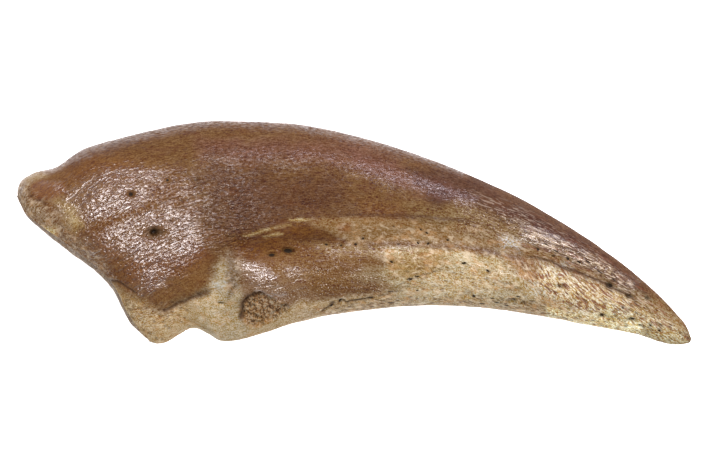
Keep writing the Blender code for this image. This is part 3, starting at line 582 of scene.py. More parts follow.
    ("fibre_cream", 0.9, 1.2, ((34.3, -5.9), (42.1, -7.7), (49.6, -10.7), (55.2, -15.9), (53.7, -19.4), (44.2, -17.1), (36.6, -13.7), (34.6, -9.6))),
    ("tip_tan", 0.9, 1.4, ((45.8, -12.5), (53.4, -13.7), (61.0, -16.3), (63.9, -22.0), (46.2, -20.1))),
    ("tip_brown", 0.7, 1.4, ((51.5, -10.3), (57.2, -12.6), (63.1, -18.3), (59.0, -17.4), (53.3, -14.8))),
    ("edge_pale", 0.85, 1.0, ((35.7, -13.7), (45.9, -15.9), (53.4, -17.4), (53.7, -19.4), (44.4, -18.6), (36.0, -16.0))),
    ("reed_grey", 0.6, 0.5, ((46.6, -14.6), (49.2, -14.8), (49.2, -16.1), (46.6, -16.1))),
    ("pale_cream", 0.6, 0.4, ((38.7, -5.5), (41.0, -5.5), (41.0, -6.6), (38.7, -6.6))),
)

STAIN_WANDER_SIZE = 3.2  # stains' drawn edges wander on this scale
STAIN_WANDER = 0.40  # and by this share of their softness
LINE_WANDER = 0.15  # lines of stain wander by this much

# Lines of stain along a path: pigment, strength, half width, points.
STAIN_LINES = (
    ("umber", 0.5, 0.28, ((-1.2, 3.1), (3.6, 3.1), (8.7, 3.2), (14.3, 2.8), (21.3, 2.0))),
    ("umber", 0.35, 0.26, ((23.9, -3.1), (28.2, -4.4), (32.6, -4.8), (36.9, -5.7), (39.9, -7.0), (44.0, -8.3), (48.1, -10.0))),
    ("outer_red", 0.6, 0.35, ((37.6, -6.2), (41.2, -7.0), (45.9, -9.2), (51.1, -11.6))),
    ("umber", 0.5, 0.25, ((-20.6, -1.4), (-16.6, -0.7), (-9.6, -1.4), (-1.4, -1.4))),
)

# --- Noise ---


def cell_random(cells, seed):
    """A share from 0 to 1 for each whole-number cell: its numbers times large odd factors, added
    and then mixed by shifts and products that wrap round at 32 bits."""
    factors = np.array([73856093, 19349663, 83492791][: cells.shape[-1]], np.uint32)
    mixed = (cells.astype(np.int64).astype(np.uint32) * factors).sum(-1, dtype=np.uint32)
    mixed = mixed + np.uint32(seed * 40503 + 2463534242)
    for shift, factor in ((15, 2246822519), (13, 3266489917), (16, 668265263)):
        mixed = (mixed ^ (mixed >> np.uint32(shift))) * np.uint32(factor)
    return (mixed ^ (mixed >> np.uint32(15))) / 2.0**32


def noise(points, size, seed):
    """Smooth noise from -1 to 1: random values at the corners of cells of the given size, blended
    across each cell by 6t^5 - 15t^4 + 10t^3."""
    place = points / np.asarray(size, float)
    low = np.floor(place)
    t = place - low
    t = t**3 * (t * (6 * t - 15) + 10)
    total = np.zeros(points.shape[:-1])
    for corner in itertools.product((0, 1), repeat=points.shape[-1]):
        weight = np.prod(np.where(corner, t, 1 - t), axis=-1)
        total += weight * cell_random(low + corner, seed)
    return 2 * total - 1


def layered_noise(points, size, seed, layers=3):
    """Noise with finer layers laid over it, each half the size and half the height of the last."""
    size = np.asarray(size, float)
    return sum(noise(points, size / 2**k, seed + k) / 2**k for k in range(layers))


def pitted(points, size, seed, share, radius):
    """Depth from 0 to 1 of scattered pits: one point placed at random in each cell, a pit round
    the given share of them, and a rounded floor that rises to the pit's radius, in cells."""
    place = points / np.asarray(size, float)
    low = np.floor(place)
    deepest = np.zeros(points.shape[:-1])
    for step in itertools.product((-1, 0, 1), repeat=points.shape[-1]):
        cell = low + step
        centre = np.stack([0.5 + 0.7 * (cell_random(cell, seed + k) - 0.5) for k in (1, 2)], -1)
        reach = radius * (0.55 + 0.9 * cell_random(cell, seed + 3))
        gap = np.linalg.norm(place - cell - centre, axis=-1) / reach
        kept = cell_random(cell, seed + 4) < share
        deepest = np.maximum(deepest, np.where(kept, np.clip(1.15 - gap**2, 0, 1), 0))
    return deepest


def cell_walls(points, size, seed):
    """Spongy cells: the second nearest of one random point a cell less the nearest, in cells, so 0
    on the walls between them; and the nearest point's own random share."""
    place = points / np.asarray(size, float)
    low = np.floor(place)
    nearest = np.full(points.shape[:-1], np.inf)
    second, share = nearest.copy(), np.zeros(nearest.shape)
    for step in itertools.product((-1, 0, 1), repeat=points.shape[-1]):
        cell = low + step
        centre = np.stack(
            [cell_random(cell, seed + k) for k in range(points.shape[-1])], axis=-1
        )
        gap = np.linalg.norm(place - cell - centre, axis=-1)
        closer = gap < nearest
        second = np.where(closer, nearest, np.minimum(second, gap))
        share = np.where(closer, cell_random(cell, seed + 9), share)
        nearest = np.where(closer, gap, nearest)
    return second - nearest, share


# --- Plane figures ---


def smooth_step(value):
    """0 up to 0, 1 from 1, and 3t^2 - 2t^3 between."""
    t = np.clip(value, 0, 1)
    return t * t * (3 - 2 * t)


def through(knots, values, at):
    """Smooth curve through values at the knots: cubic pieces that share their slopes."""
    knots, values = np.asarray(knots, float), np.asarray(values, float)
    gaps = np.diff(knots)
    steps = (np.diff(values, axis=0).T / gaps).T
    slopes = np.empty_like(values)
    weights = gaps[1:] / (gaps[1:] + gaps[:-1])
    slopes[1:-1] = (steps[:-1].T * weights + steps[1:].T * (1 - weights)).T
    slopes[0] = 2 * steps[0] - slopes[1]
    slopes[-1] = 2 * steps[-1] - slopes[-2]
    at = np.asarray(at, float)
    i = np.clip(np.searchsorted(knots, at) - 1, 0, len(gaps) - 1)
    t = (at - knots[i]) / gaps[i]
    shape = t.shape + (1,) * (values.ndim - 1)
    t, gap = t.reshape(shape), gaps[i].reshape(shape)
    return (
        values[i] * (1 + 2 * t) * (1 - t) ** 2
        + values[i + 1] * t * t * (3 - 2 * t)
        + slopes[i] * gap * t * (1 - t) ** 2
        - slopes[i + 1] * gap * t * t * (1 - t)
    )


def gap_to_path(x, y, path):
    """Distance from each point to a path of straight pieces."""
    path = np.asarray(path, float)
    nearest = np.full(np.shape(x), np.inf)
    for (ax, ay), (bx, by) in zip(path[:-1], path[1:]):
        run = (bx - ax) ** 2 + (by - ay) ** 2
        t = np.clip(((x - ax) * (bx - ax) + (y - ay) * (by - ay)) / run, 0, 1)
        nearest = np.minimum(nearest, np.hypot(x - ax - t * (bx - ax), y - ay - t * (by - ay)))
    return nearest


def depth_inside(x, y, outline):
    """Distance to a closed outline, positive inside it: a point is inside where a level line from
    it crosses the outline an odd number of times."""
    corners = np.asarray(outline, float)
    inside = np.zeros(np.shape(x), bool)
    for (ax, ay), (bx, by) in zip(corners, np.roll(corners, -1, axis=0)):
        if ay != by:
            crossing = ax + (y - ay) * (bx - ax) / (by - ay)
            inside ^= ((ay > y) != (by > y)) & (x < crossing)
    gap = gap_to_path(x, y, np.vstack([corners, corners[:1]]))
    return np.where(inside, gap, -gap)


def oval(x, y, centre_x, centre_y, long_radius, short_radius, turn_deg):
    """Distance from an oval's centre in its own radii: 1 on its outline."""
    c, s = math.cos(math.radians(turn_deg)), math.sin(math.radians(turn_deg))
    dx, dy = x - centre_x, y - centre_y
    return np.hypot((dx * c + dy * s) / long_radius, (dy * c - dx * s) / short_radius)


def turned(x, y, turn_deg):
    """The points in axes turned by an angle, as an array whose last axis is (along, across)."""
    c, s = math.cos(math.radians(turn_deg)), math.sin(math.radians(turn_deg))
    return np.stack([x * c + y * s, y * c - x * s], axis=-1)


# --- Stains ---


def linear(srgb):
    """A pigment's sRGB values, 0 to 255, as linear shares of light."""
    value = np.asarray(srgb, float) / 255
    return np.where(value <= 0.04045, value / 12.92, ((value + 0.055) / 1.055) ** 2.4)


def wander(x, y, size, reach, seed):
    """The points moved about by noise, which makes drawn edges natural."""
    points = np.stack([x, y], axis=-1)
    return (
        x + reach * layered_noise(points, size, seed),
        y + reach * layered_noise(points, size, seed + 50),
    )


def stained(x, y):
    """Linear colour at each point of a side face: stains laid over each other with soft, wandering
    edges, then lines of stain."""
    moved_x, moved_y = wander(x, y, STAIN_WANDER_SIZE, 1.0, 11)
    moved_x, moved_y = moved_x - x, moved_y - y
    colour = np.zeros(np.shape(x) + (3,)) + linear(PIGMENTS["mahogany"])
    for name, strength, softness, outline in STAINS:
        reach = STAIN_WANDER * softness
        inside = depth_inside(x + reach * moved_x, y + reach * moved_y, outline)
        share = strength * smooth_step(0.5 + inside / (2 * softness))
        colour += share[..., None] * (linear(PIGMENTS[name]) - colour)
    for name, strength, half_width, path in STAIN_LINES:
        gap = gap_to_path(x + LINE_WANDER * moved_x, y + LINE_WANDER * moved_y, path)
        share = strength * np.exp(-((gap / half_width) ** 2))
        colour += share[..., None] * (linear(PIGMENTS[name]) - colour)
    return colour


# --- Mesh of the bone ---


def rib_places():
    """Where each rib lies along the bone, from 0 to 1, and the bone's length: both by the mean
    length of its outer and inner curves."""
    outer, inner = (np.array([rib[side] for rib in RIBS]) for side in (0, 1))
    lengths = [np.linalg.norm(np.diff(curve, axis=0), axis=1) for curve in (outer, inner)]
    run = np.concatenate([[0.0], np.cumsum(sum(lengths) / 2)])
    return run / run[-1], run[-1]


def ribs_at(along):
    """Middle point, half chord and half thickness of the rib at each place along the bone."""
    places, _ = rib_places()
    outer = through(places, [rib[0] for rib in RIBS], along)
    inner = through(places, [rib[1] for rib in RIBS], along)
    thickness = through(places, [rib[2] for rib in RIBS], along)
    return (outer + inner) / 2, (outer - inner) / 2, thickness


def face_offset(up, across):
    """How far the joint face stands out from the first rib's chord, at shares of its half height
    and half width: a keel down the middle, a cup on each side and side edges set back."""
    keel = through(KEEL_AT, KEEL_OUT, (1 - up) / 2)
    reach = np.sqrt(np.maximum(1 - up**2, 1e-9))
    share = np.clip(np.abs(across) / reach, 0, 1)
    cup = CUP_DEPTH * np.sin(math.pi * share) ** 2 * reach
    return keel - EDGE_SET_BACK * np.abs(across) ** EDGE_SET_BACK_POWER - cup


def side_relief(x, y, upper):
    """Height of the large relief at x, y on the upper side face, or on the lower one."""
    height = np.zeros(np.shape(x))
    for *place, rise in SWELLINGS + (UPPER_SWELLINGS if upper else LOWER_SWELLINGS):
        height += rise * np.exp(-(oval(x, y, *place) ** 2))
    for (half_width, depth), path in FURROWS:
        height -= depth * np.exp(-((gap_to_path(x, y, path) / half_width) ** 2))
    return height


def evenly(density, count):
    """count shares from 0 to 1, spaced so that there are more where the density is higher: the
    density's running sum, read backwards."""
    fine = np.linspace(0, 1, 2001)
    run = np.concatenate([[0], np.cumsum((density(fine[1:]) + density(fine[:-1])) / 2)])
    return np.interp(np.linspace(0, 1, count), run / run[-1], fine)


def column_angles():
    """Angles round a section from the outer curve over the upper side and back, spaced evenly along
    an oval's outline and closer towards the inner curve."""

    def density(share):
        angle = math.pi * share
        oval_step = np.hypot(OVALNESS * np.sin(angle), np.cos(angle))
        return oval_step * (1 - INNER_DENSITY * np.cos(angle))

    upper = math.pi * evenly(density, UPPER_COLUMNS + 1)[:-1]
    lower = 2 * math.pi - math.pi * evenly(density, LOWER_COLUMNS + 1)[:0:-1]
    return np.concatenate([upper, lower])


def row_places():
    """Share of the joint face's size and place along the bone, for each row: the joint face's rows
    grow from its centre to its rim, and the body's run from there to the last rib."""
    at, spread, extra = KNOB_DENSITY
    body = evenly(lambda p: 1 + extra * np.exp(-(((p - at) / spread) ** 2)), BODY_ROWS)
    face = np.sin(np.arange(1, FACE_ROWS + 1) / (FACE_ROWS + 1) * math.pi / 2)
    share = np.concatenate([face, np.ones(BODY_ROWS)])
    return share, np.concatenate([np.zeros(FACE_ROWS), body])


def bone_grid():
    """The smooth bone as a grid of points, rows by columns, and what is known at each: shares up
    and across its section, and the place along the bone. The last rows close the tip as a dome."""
    share, place = row_places()
    angle = column_angles()
    middle, half, thickness = ribs_at(place)
    up, across = share[:, None] * np.cos(angle), share[:, None] * np.sin(angle)
    outward = np.stack([-half[:, 1], half[:, 0]], -1) / np.linalg.norm(half, axis=1)[:, None]
    power = (SECTION_POWER + (ROUND_POWER - SECTION_POWER) * place)[:, None]
    side = np.sign(across) * np.abs(across) ** power
    side *= 1 + WIDEST_UP * (1 - place[:, None]) * up
    set_off = face_offset(up, across) * np.exp(-((place[:, None] / SET_BACK_FADES) ** 2))
    flat = middle[:, None] + up[..., None] * half[:, None] + set_off[..., None] * outward[:, None]
    x, y = flat[..., 0], flat[..., 1]
    relief = np.where(across > 0, side_relief(x, y, True), -side_relief(x, y, False))
    relief *= np.abs(across) ** RELIEF_FADE * (share[:, None] ** 8)
    depth = thickness[:, None] * side + relief + TIP_BEND * place[:, None] ** 2
    points = np.concatenate([flat, depth[..., None]], axis=-1)

    turn = (np.arange(1, TIP_ROWS + 1) / (TIP_ROWS + 1) * math.pi / 2)[:, None, None]
    last, tip = points[-1], np.array([*TIP, TIP_BEND])
    centre = last.mean(axis=0)
    dome = centre + np.cos(turn) * (last - centre) + np.sin(turn) * (tip - centre)
    shrink = np.cos(turn[..., 0])
    up = np.concatenate([up, shrink * up[-1]])
    across = np.concatenate([across, shrink * across[-1]])
    place = np.concatenate([place, np.ones(TIP_ROWS)])
    share = np.concatenate([share, np.ones(TIP_ROWS)])
    return np.concatenate([points, dome]), up, across, share, place


def grid_normals(points):
    """Outward unit normals of a grid: the step from column to column crossed with the step from row
    to row."""
    down = np.gradient(points, axis=0)
    round_step = np.roll(points, -1, axis=1) - np.roll(points, 1, axis=1)
    normal = np.cross(round_step, down)
    return normal / np.maximum(np.linalg.norm(normal, axis=-1), 1e-12)[..., None]


def holes_depth(x, y, holes):
    """Depth of the holes, as bowls with steep walls, less their faint raised lips."""
    depth = np.zeros(x.shape)
    lip, lip_at, lip_spread = HOLE_LIP
    for cx, cy, length, width, turn_deg, deep in holes:
        gap = oval(x, y, cx, cy, length / 2, width / 2, turn_deg)
        bowl = 1 / (1 + gap**6)
        depth += deep * bowl - lip * np.exp(-(((gap - lip_at) / lip_spread) ** 2))
    return depth


def area(x, y, outline, softness):
    """Share from 0 to 1 of lying within a drawn area with a soft edge."""
    return smooth_step(0.5 + depth_inside(x, y, outline) / (2 * softness))


def zone_value(x, y, start, zones):
    """A finish at each point: its value all over, then each zone's value laid on with a soft edge."""
    value = np.full(x.shape, start)
    for strength, softness, outline in zones:
        value += area(x, y, outline, softness) * (strength - value)
    return value


def broken_relief(x, y):
    """The broken spot: how far inside it each point is, from 0 to 1, and its depth, which falls at
    the rim and sinks further in each cell of the spongy bone."""
    wx, wy = wander(x, y, 1.2, 0.3, 21)
    inside = smooth_step(0.5 + depth_inside(wx, wy, BROKEN_SPOT) / (2 * BROKEN_RIM))
    walls, share = cell_walls(np.stack([wx, wy], -1), BROKEN_CELL, 23)
    hollow = smooth_step((walls - 0.1) / 0.4) * smooth_step((share - 0.2) / 0.5)
    return inside, inside * (BROKEN_DEPTH + BROKEN_CELL_DEPTH * hollow)


def fibre_ways(x, y, z, along, across_mm):
    """For each way that the fibres run: coordinates along and across them and in depth, and its
    share, from 0 to 1, at each point. The main way follows the blade, and each other way runs
    along parabolas, so its coordinate across is t + bend * s^2 at s along and t across."""
    ways = {"main": (np.stack([along, across_mm, z], axis=-1), 1.0)}
    for way, ((at_x, at_y), turn_deg, bend, softness, outline) in WAYS.items():
        s, t = np.moveaxis(turned(x - at_x, y - at_y, turn_deg), -1, 0)
        ways[way] = np.stack([s, t + bend * s**2, z], axis=-1), area(x, y, outline, softness)
    return ways


def fine_relief(grid, up, across, share, place):
    """Height of the fine relief along the surface's normal, and what the material reads: marks, as
    shares from 0 to 1, and the fibres' ways."""
    x, y, z = np.moveaxis(grid, -1, 0)
    _, length = rib_places()
    _, half, _ = ribs_at(place)
    along = np.broadcast_to(place[:, None] * length, x.shape)
    across_mm = up * np.linalg.norm(half, axis=1)[:, None]
    upper = across >= 0
    on_sides = share[:, None] ** 8 * np.ones(x.shape)
    ways = fibre_ways(x, y, z, along, across_mm)

    height, painted_shade, furrows = (np.zeros(x.shape) for _ in range(3))
    height -= SETTLED * (1 - place[:, None] ** TIP_STAYS)
    for *dent, depth in DENTS:
        height -= depth * np.exp(-(oval(x, y, *dent) ** 2))
    for k, (size, rise) in enumerate(UNDULATIONS):
        height += rise * noise(grid, size, 31 + k)
    for k, (way, softness, outline, (long, wide), rise) in enumerate(WRINKLES):
        where = area(x, y, outline, softness) * on_sides
        height += where * rise * noise(ways[way][0], (long, wide, wide), 41 + k)
    for k, (way, softness, outline, (long, wide), cut_share, depth) in enumerate(FIBRE_FURROWS):
        where = area(x, y, outline, softness) * on_sides
        fibre = noise(ways[way][0], (long, wide, wide), 45 + k)
        furrow = where * smooth_step((fibre - cut_share) / 0.35)
        height += where * 0.35 * depth * fibre - depth * furrow
        furrows = np.maximum(furrows, furrow)
    for k, (size, rise) in enumerate(JOINT_ROUGHNESS):
        height += (1 - on_sides) * rise * noise(grid, size, 51 + k)

    wx, wy = wander(x, y, 1.0, CRACK_WANDER, 61)
    for holes, side in ((UPPER_HOLES, upper), (LOWER_HOLES, ~upper)):
        height -= side * on_sides * holes_depth(x, y, holes)
    for half_width, depth, path in UPPER_CRACKS:
        cut = np.exp(-((gap_to_path(wx, wy, path) / half_width) ** 2)) * upper * on_sides
        height -= depth * cut
        # a crack is painted darker the deeper it is: painted shade
        painted_shade = np.maximum(painted_shade, min(0.9, 0.25 + 3 * depth) * cut)
    for k, (outline, turn_deg, long, wide, kept, radius, depth) in enumerate(PIT_FIELDS):
        pits = pitted(turned(x, y, turn_deg), (long, wide), 71 + 10 * k, kept, radius)
        pits *= area(x, y, outline, 0.8) * on_sides
        height -= depth * pits
        # the pits are painted dark towards their floors: painted shade
        painted_shade = np.maximum(painted_shade, 0.5 * pits)
    broken, depth = broken_relief(x, y)
    height -= upper * on_sides * depth
    marks = {"painted_shade": painted_shade, "furrow": furrows, "broken": upper * on_sides * broken}
    return height, marks, ways


def bone_faces(rows, columns):
    """Corner numbers of the four-sided faces between the rows, and of the fans round the two end
    points, which follow the grid's own points."""
    at = np.arange(rows * columns).reshape(rows, columns)
    beside = np.roll(at, -1, axis=1)
    quads = np.stack([at[:-1], beside[:-1], beside[1:], at[1:]], axis=-1).reshape(-1, 4)
    start, finish = rows * columns, rows * columns + 1
    fans = [
        np.stack([np.full(columns, start), beside[0], at[0]], axis=-1),
        np.stack([np.full(columns, finish), at[-1], beside[-1]], axis=-1),
    ]
    return quads, np.concatenate(fans)


def mesh_of(name, points, quads, triangles):
    """A smooth-shaded mesh from whole arrays of points, in metres, and corner numbers."""
    corners = np.concatenate([quads.ravel(), triangles.ravel()]).astype(np.int32)
    sizes = np.concatenate([np.full(len(quads), 4), np.full(len(triangles), 3)])
    starts = np.concatenate([[0], np.cumsum(sizes)[:-1]]).astype(np.int32)
    mesh = bpy.data.meshes.new(name)
    mesh.vertices.add(len(points))
    mesh.vertices.foreach_set("co", points.astype(np.float32).ravel())
    mesh.loops.add(len(corners))
    mesh.loops.foreach_set("vertex_index", corners)
    mesh.polygons.add(len(sizes))
    mesh.polygons.foreach_set("loop_start", starts)
    mesh.update(calc_edges=True)
    mesh.validate()
    mesh.shade_smooth()
    return mesh


def add_attribute(mesh, name, kind, field, values):
    """A value at every point of the mesh, which the material reads by its name."""
    attribute = mesh.attributes.new(name, kind, "POINT")
    attribute.data.foreach_set(field, np.ascontiguousarray(values, np.float32).ravel())


def rest_turn():
    """The turn from the claw's own middle plane to the pose that it rests in."""
    roll = Matrix.Rotation(math.radians(REST_ROLL_DEG), 3, "X")
    return roll @ Matrix.Rotation(math.radians(REST_PITCH_DEG), 3, "Y")


def rested(points, smooth_points):
    """The points in the row frame, in metres: turned to rest, centred by the smooth bone's box, set
    down until the touching spots are worn flat, and nothing below the table."""
    turn = np.array(rest_turn())
    smooth = smooth_points @ turn.T
    low, high = smooth.min(axis=0), smooth.max(axis=0)
    middle = np.array([(low[0] + high[0]) / 2, (low[1] + high[1]) / 2, low[2] + REST_FLAT])
    placed = points @ turn.T - middle
    placed[:, 2] = np.maximum(placed[:, 2], 0)
    return placed * MM, middle


def make_bone():
    """The bone as one closed mesh with its stains, finishes and fibres' ways."""
    grid, up, across, share, place = bone_grid()
    normals = grid_normals(grid)
    height, marks, ways = fine_relief(grid, up, across, share, place)
    points = grid + height[..., None] * normals
    x, y = grid[..., 0], grid[..., 1]
    face = 1 - share[:, None] ** 8 * np.ones(x.shape)
    stain = stained(x, y)
    stain += face[..., None] * (linear(PIGMENTS["joint_grey"]) - stain)

    def listed(values):
        """The grid's values as one list, and the two end points' after them."""
        values = values.reshape(*x.shape, -1)
        ends = [values[0].mean(axis=0)], [values[-1].mean(axis=0)]
        return np.concatenate([values.reshape(-1, values.shape[-1]), *ends])

    placed, middle = rested(listed(points), grid.reshape(-1, 3))
    quads, fans = bone_faces(*x.shape)
    mesh = mesh_of("claw_bone", placed, quads, fans)
    colours = listed(stain)
    add_attribute(mesh, "stain", "FLOAT_COLOR", "color", np.column_stack([colours, np.ones(len(colours))]))
    for way, (coordinates, way_share) in ways.items():
        add_attribute(mesh, "fibres_" + way, "FLOAT_VECTOR", "vector", listed(coordinates))
        if way in WAYS:
            add_attribute(mesh, way, "FLOAT", "value", listed(way_share))
    add_attribute(mesh, "plane_x", "FLOAT", "value", listed(np.where(across >= 0, x, FAR_OFF)))
    add_attribute(mesh, "plane_y", "FLOAT", "value", listed(y))
    for name, mark in marks.items():
        add_attribute(mesh, name, "FLOAT", "value", listed(mark))
    for name, (start, zones) in FINISHES.items():
        value = zone_value(x, y, start, zones)
        value += face * (FACE_FINISH[name] - value)
        add_attribute(mesh, name, "FLOAT", "value", listed(value))
    bone = bpy.data.objects.new("claw_bone", mesh)
    bpy.context.scene.collection.objects.link(bone)
    return bone, middle


# --- Material ---


DULL, SHINY = 0.90, 0.55  # roughness of the dullest and of the glossiest bone, under its coat
BONE_IOR = 1.33
COAT_ROUGHNESS = 0.14  # of the clear consolidant that fills the gloss
COAT_IOR = 1.6
LIGHT_RESPONSE = (0.62, 1.0, 2.0)  # how strongly red, green and blue follow the lightness
DARKEST = 0.15  # the least share of a stain's colour that a dark streak leaves
GLOSS_PATCHES = 5.0  # how strongly a middling gloss breaks up into patches


class Nodes:
    """Adds nodes to a material: each call makes one, sets its values and links its inputs."""

    def __init__(self, material):
        material.use_nodes = True
        self.tree = material.node_tree
        self.tree.nodes.clear()

    def add(self, kind, inputs=(), **settings):
        made = self.tree.nodes.new("ShaderNode" + kind)
        for name, value in settings.items():
            setattr(made, name, value)
        for name, value in dict(inputs).items():
            if isinstance(value, bpy.types.NodeSocket):
                self.tree.links.new(value, made.inputs[name])
            else:
                made.inputs[name].default_value = value
        return made

    def attribute(self, name, output="Fac"):
        return self.add("Attribute", attribute_name=name).outputs[output]

    def maths(self, operation, a, b=0.0, c=0.0):
        return self.add("Math", {0: a, 1: b, 2: c}, operation=operation).outputs[0]

    def sized(self, vector, size):
        """The vector, in mm, in cells of the given size along and across the fibres."""
        long, wide = size
        return self.add("Mapping", {"Vector": vector, "Scale": (1 / long, 1 / wide, 1 / wide)}).outputs[0]

    def noise(self, vector, size, detail=2.0, roughness=0.5):
        cells = self.sized(vector, size)
        inputs = {"Vector": cells, "Scale": 1.0, "Detail": detail, "Roughness": roughness}
        return self.add("TexNoise", inputs).outputs["Fac"]

    def spots(self, vector, size):
        """Distance from the nearest of one random point a cell."""
        cells = self.sized(vector, size)
        return self.add("TexVoronoi", {"Vector": cells, "Scale": 1.0}, feature="F1").outputs["Distance"]

    def hole_shade(self, x, y, hole):
        """Painted shade in a hole: 1 in its deep core and 0 from its edge. The core lies a little above the hole's
        middle, since the upper wall overhangs it."""
        middle_x, middle_y, length, width, turn_deg, deep = hole
        middle_y += CORE_UP * width
        c, s = math.cos(math.radians(turn_deg)), math.sin(math.radians(turn_deg))
        gaps = []
        for radius, x_share, y_share in ((length / 2, c, s), (width / 2, -s, c)):
            start = -(middle_x * x_share + middle_y * y_share) / radius
            gap = self.maths("MULTIPLY_ADD", x, x_share / radius, start)
            gaps.append(self.maths("MULTIPLY_ADD", y, y_share / radius, gap))
        square = self.maths("MULTIPLY", gaps[0], gaps[0])
        square = self.maths("MULTIPLY_ADD", gaps[1], gaps[1], square)
        return self.ramp(square, 0.2, 0.75, min(1.0, (deep / width) ** 2), 0.0)

    def ramp(self, value, low, high, low_to=0.0, high_to=1.0):
        """The value brought from one span to another, smoothly and no further."""
        made = self.add(
            "MapRange",
            {"Value": value, "From Min": low, "From Max": high, "To Min": low_to, "To Max": high_to},
            interpolation_type="SMOOTHSTEP",
        )
        return made.outputs["Result"]

    def mix(self, share, a, b, blend="MIX"):
        made = self.add("Mix", data_type="RGBA", blend_type=blend)
        for socket, value in ((made.inputs[0], share), (made.inputs[6], a), (made.inputs[7], b)):
            if isinstance(value, bpy.types.NodeSocket):
                self.tree.links.new(value, socket)
            else:
                socket.default_value = value
        return made.outputs[2]


def colour_value(name):
    return (*linear(PIGMENTS[name]), 1.0)


def fossil_bone():
    """Glossy consolidated fossil bone: stains broken up by streaks along the fibres, blotches and specks, painted
    shade in pits, cracks, creases and the holes' cores, painted glints, and a fine wrinkled gloss."""
    material = bpy.data.materials.new("fossil_bone")
    n = Nodes(material)
    main = n.attribute("fibres_main", "Vector")
    stain = n.attribute("stain", "Color")
    gloss, wrinkled, streaked, speckled, mottled, painted_glints, lined, pricked, slit_share = map(
        n.attribute, FINISHES
    )
    painted_shade, furrow, falling, broken = map(n.attribute, ("painted_shade", "furrow", "falling", "broken"))

    def along_fibres(pattern, *settings):
        """A pattern laid in each way that the fibres run, blended by the ways' shares."""
        value = pattern(main, *settings)
        for way in WAYS:
            other = pattern(n.attribute("fibres_" + way, "Vector"), *settings)
            value = n.add("Mix", {0: n.attribute(way), 2: value, 3: other}).outputs[0]
        return value

    # lightness: streaks along the fibres, coarse and fine, blotches and grain
    coarse = n.ramp(along_fibres(n.noise, (8.0, 1.0), 3.0, 0.6), 0.3, 0.7, -0.13, 0.13)
    fine_noise = along_fibres(n.noise, (1.0, 0.21), 1.0, 0.65)
    fine = n.maths("MULTIPLY", n.ramp(fine_noise, 0.3, 0.7, -0.50, 0.50), streaked)
    blotch = n.ramp(n.noise(main, (4.5, 2.2), 4.0, 0.6), 0.3, 0.7, -0.15, 0.15)
    grit = n.ramp(n.noise(main, (0.27, 0.21), 0.0), 0.25, 0.75, -0.36, 0.36)
    grain = n.ramp(n.noise(main, (0.40, 0.28), 1.0, 0.7), 0.3, 0.7, -0.6, 0.6)
    grain = n.maths("MULTIPLY", grain, speckled)
    light = n.maths("ADD", n.maths("ADD", coarse, fine), n.maths("ADD", blotch, grain))
    light = n.maths("ADD", light, grit)
    dimple = n.ramp(along_fibres(n.spots, (0.64, 0.51)), 0.10, 0.50)
    wrinkle = along_fibres(n.noise, (0.63, 0.39), 1.0, 0.5)
    swell = along_fibres(n.noise, (2.8, 0.70), 1.0, 0.5)
    wrinkled = n.maths("MULTIPLY", wrinkled, n.ramp(swell, 0.34, 0.50, 0.30, 1.05))
    # the creases of the wrinkled bone are painted darker: painted shade, and the dirt they hold
    crease_dirt_and_shade = n.maths("MULTIPLY", n.maths("MULTIPLY_ADD", dimple, -0.4, 0.4), wrinkled)
    light = n.maths("SUBTRACT", light, crease_dirt_and_shade)
    tinted = {
        channel: n.maths("MAXIMUM", n.maths("MULTIPLY_ADD", light, response, 1.0), DARKEST)
        for channel, response in enumerate(LIGHT_RESPONSE)
    }
    colour = n.mix(1.0, stain, n.add("CombineColor", tinted).outputs[0], "MULTIPLY")
    rusty = n.ramp(n.noise(main, (5.0, 1.8), 3.0, 0.6), 0.54, 0.7, 0.0, 0.22)
    colour = n.mix(rusty, colour, colour_value("rust"))
    purple = n.ramp(n.noise(main, (7.0, 2.6), 3.0, 0.6), 0.56, 0.7, 0.0, 0.22)
    colour = n.mix(purple, colour, colour_value("mauve_and_sheen"))
    tan_mottle = n.ramp(n.noise(main, (2.3, 1.5), 3.0, 0.65), 0.50, 0.66, 0.0, 0.45)
    colour = n.mix(n.maths("MULTIPLY", tan_mottle, mottled), colour, colour_value("mottle_tan"))
    pale_mottle = n.ramp(n.noise(main, (1.5, 1.0), 3.0, 0.65), 0.50, 0.66, 0.0, 0.50)
    colour = n.mix(n.maths("MULTIPLY", pale_mottle, mottled), colour, colour_value("mottle_pale"))

    # painted glints (pale specks), slit pores between the fibres, darker reddish furrows, the broken spot's dark cells
    # and pale walls, and painted shade in pits, cracks and the holes' cores
    painted_glint = n.ramp(n.noise(main, (0.27, 0.22), 0.0), 0.66, 0.76, 0.0, 0.85)
    gathered = n.ramp(n.noise(main, (3.0, 1.6), 2.0), 0.36, 0.60, 0.15, 1.0)
    painted_glint = n.maths("MULTIPLY", n.maths("MULTIPLY", painted_glint, gathered), painted_glints)
    colour = n.mix(painted_glint, colour, colour_value("painted_glint_white"))
    prick = n.ramp(n.spots(main, (1.5, 0.50)), 0.40, 0.27)
    prick = n.maths("MULTIPLY", n.maths("MULTIPLY", prick, n.ramp(gathered, 0.2, 0.5)), pricked)
    slit = n.ramp(along_fibres(n.noise, (1.7, 0.36), 0.0), 0.57, 0.66)
    picked = n.ramp(n.noise(main, (2.6, 1.2), 2.0), 0.38, 0.50)
    slit = n.maths("MULTIPLY", n.maths("MULTIPLY", slit, picked), slit_share)
    colour = n.mix(n.maths("MULTIPLY", furrow, 0.7), colour, colour_value("furrow_red"))
    line = n.noise(main, (2.8, 0.25), 1.0, 0.6)
    dark_line = n.maths("MULTIPLY", n.ramp(line, 0.49, 0.38, 0.0, 0.75), lined)
    colour = n.mix(dark_line, colour, colour_value("slit_brown"))
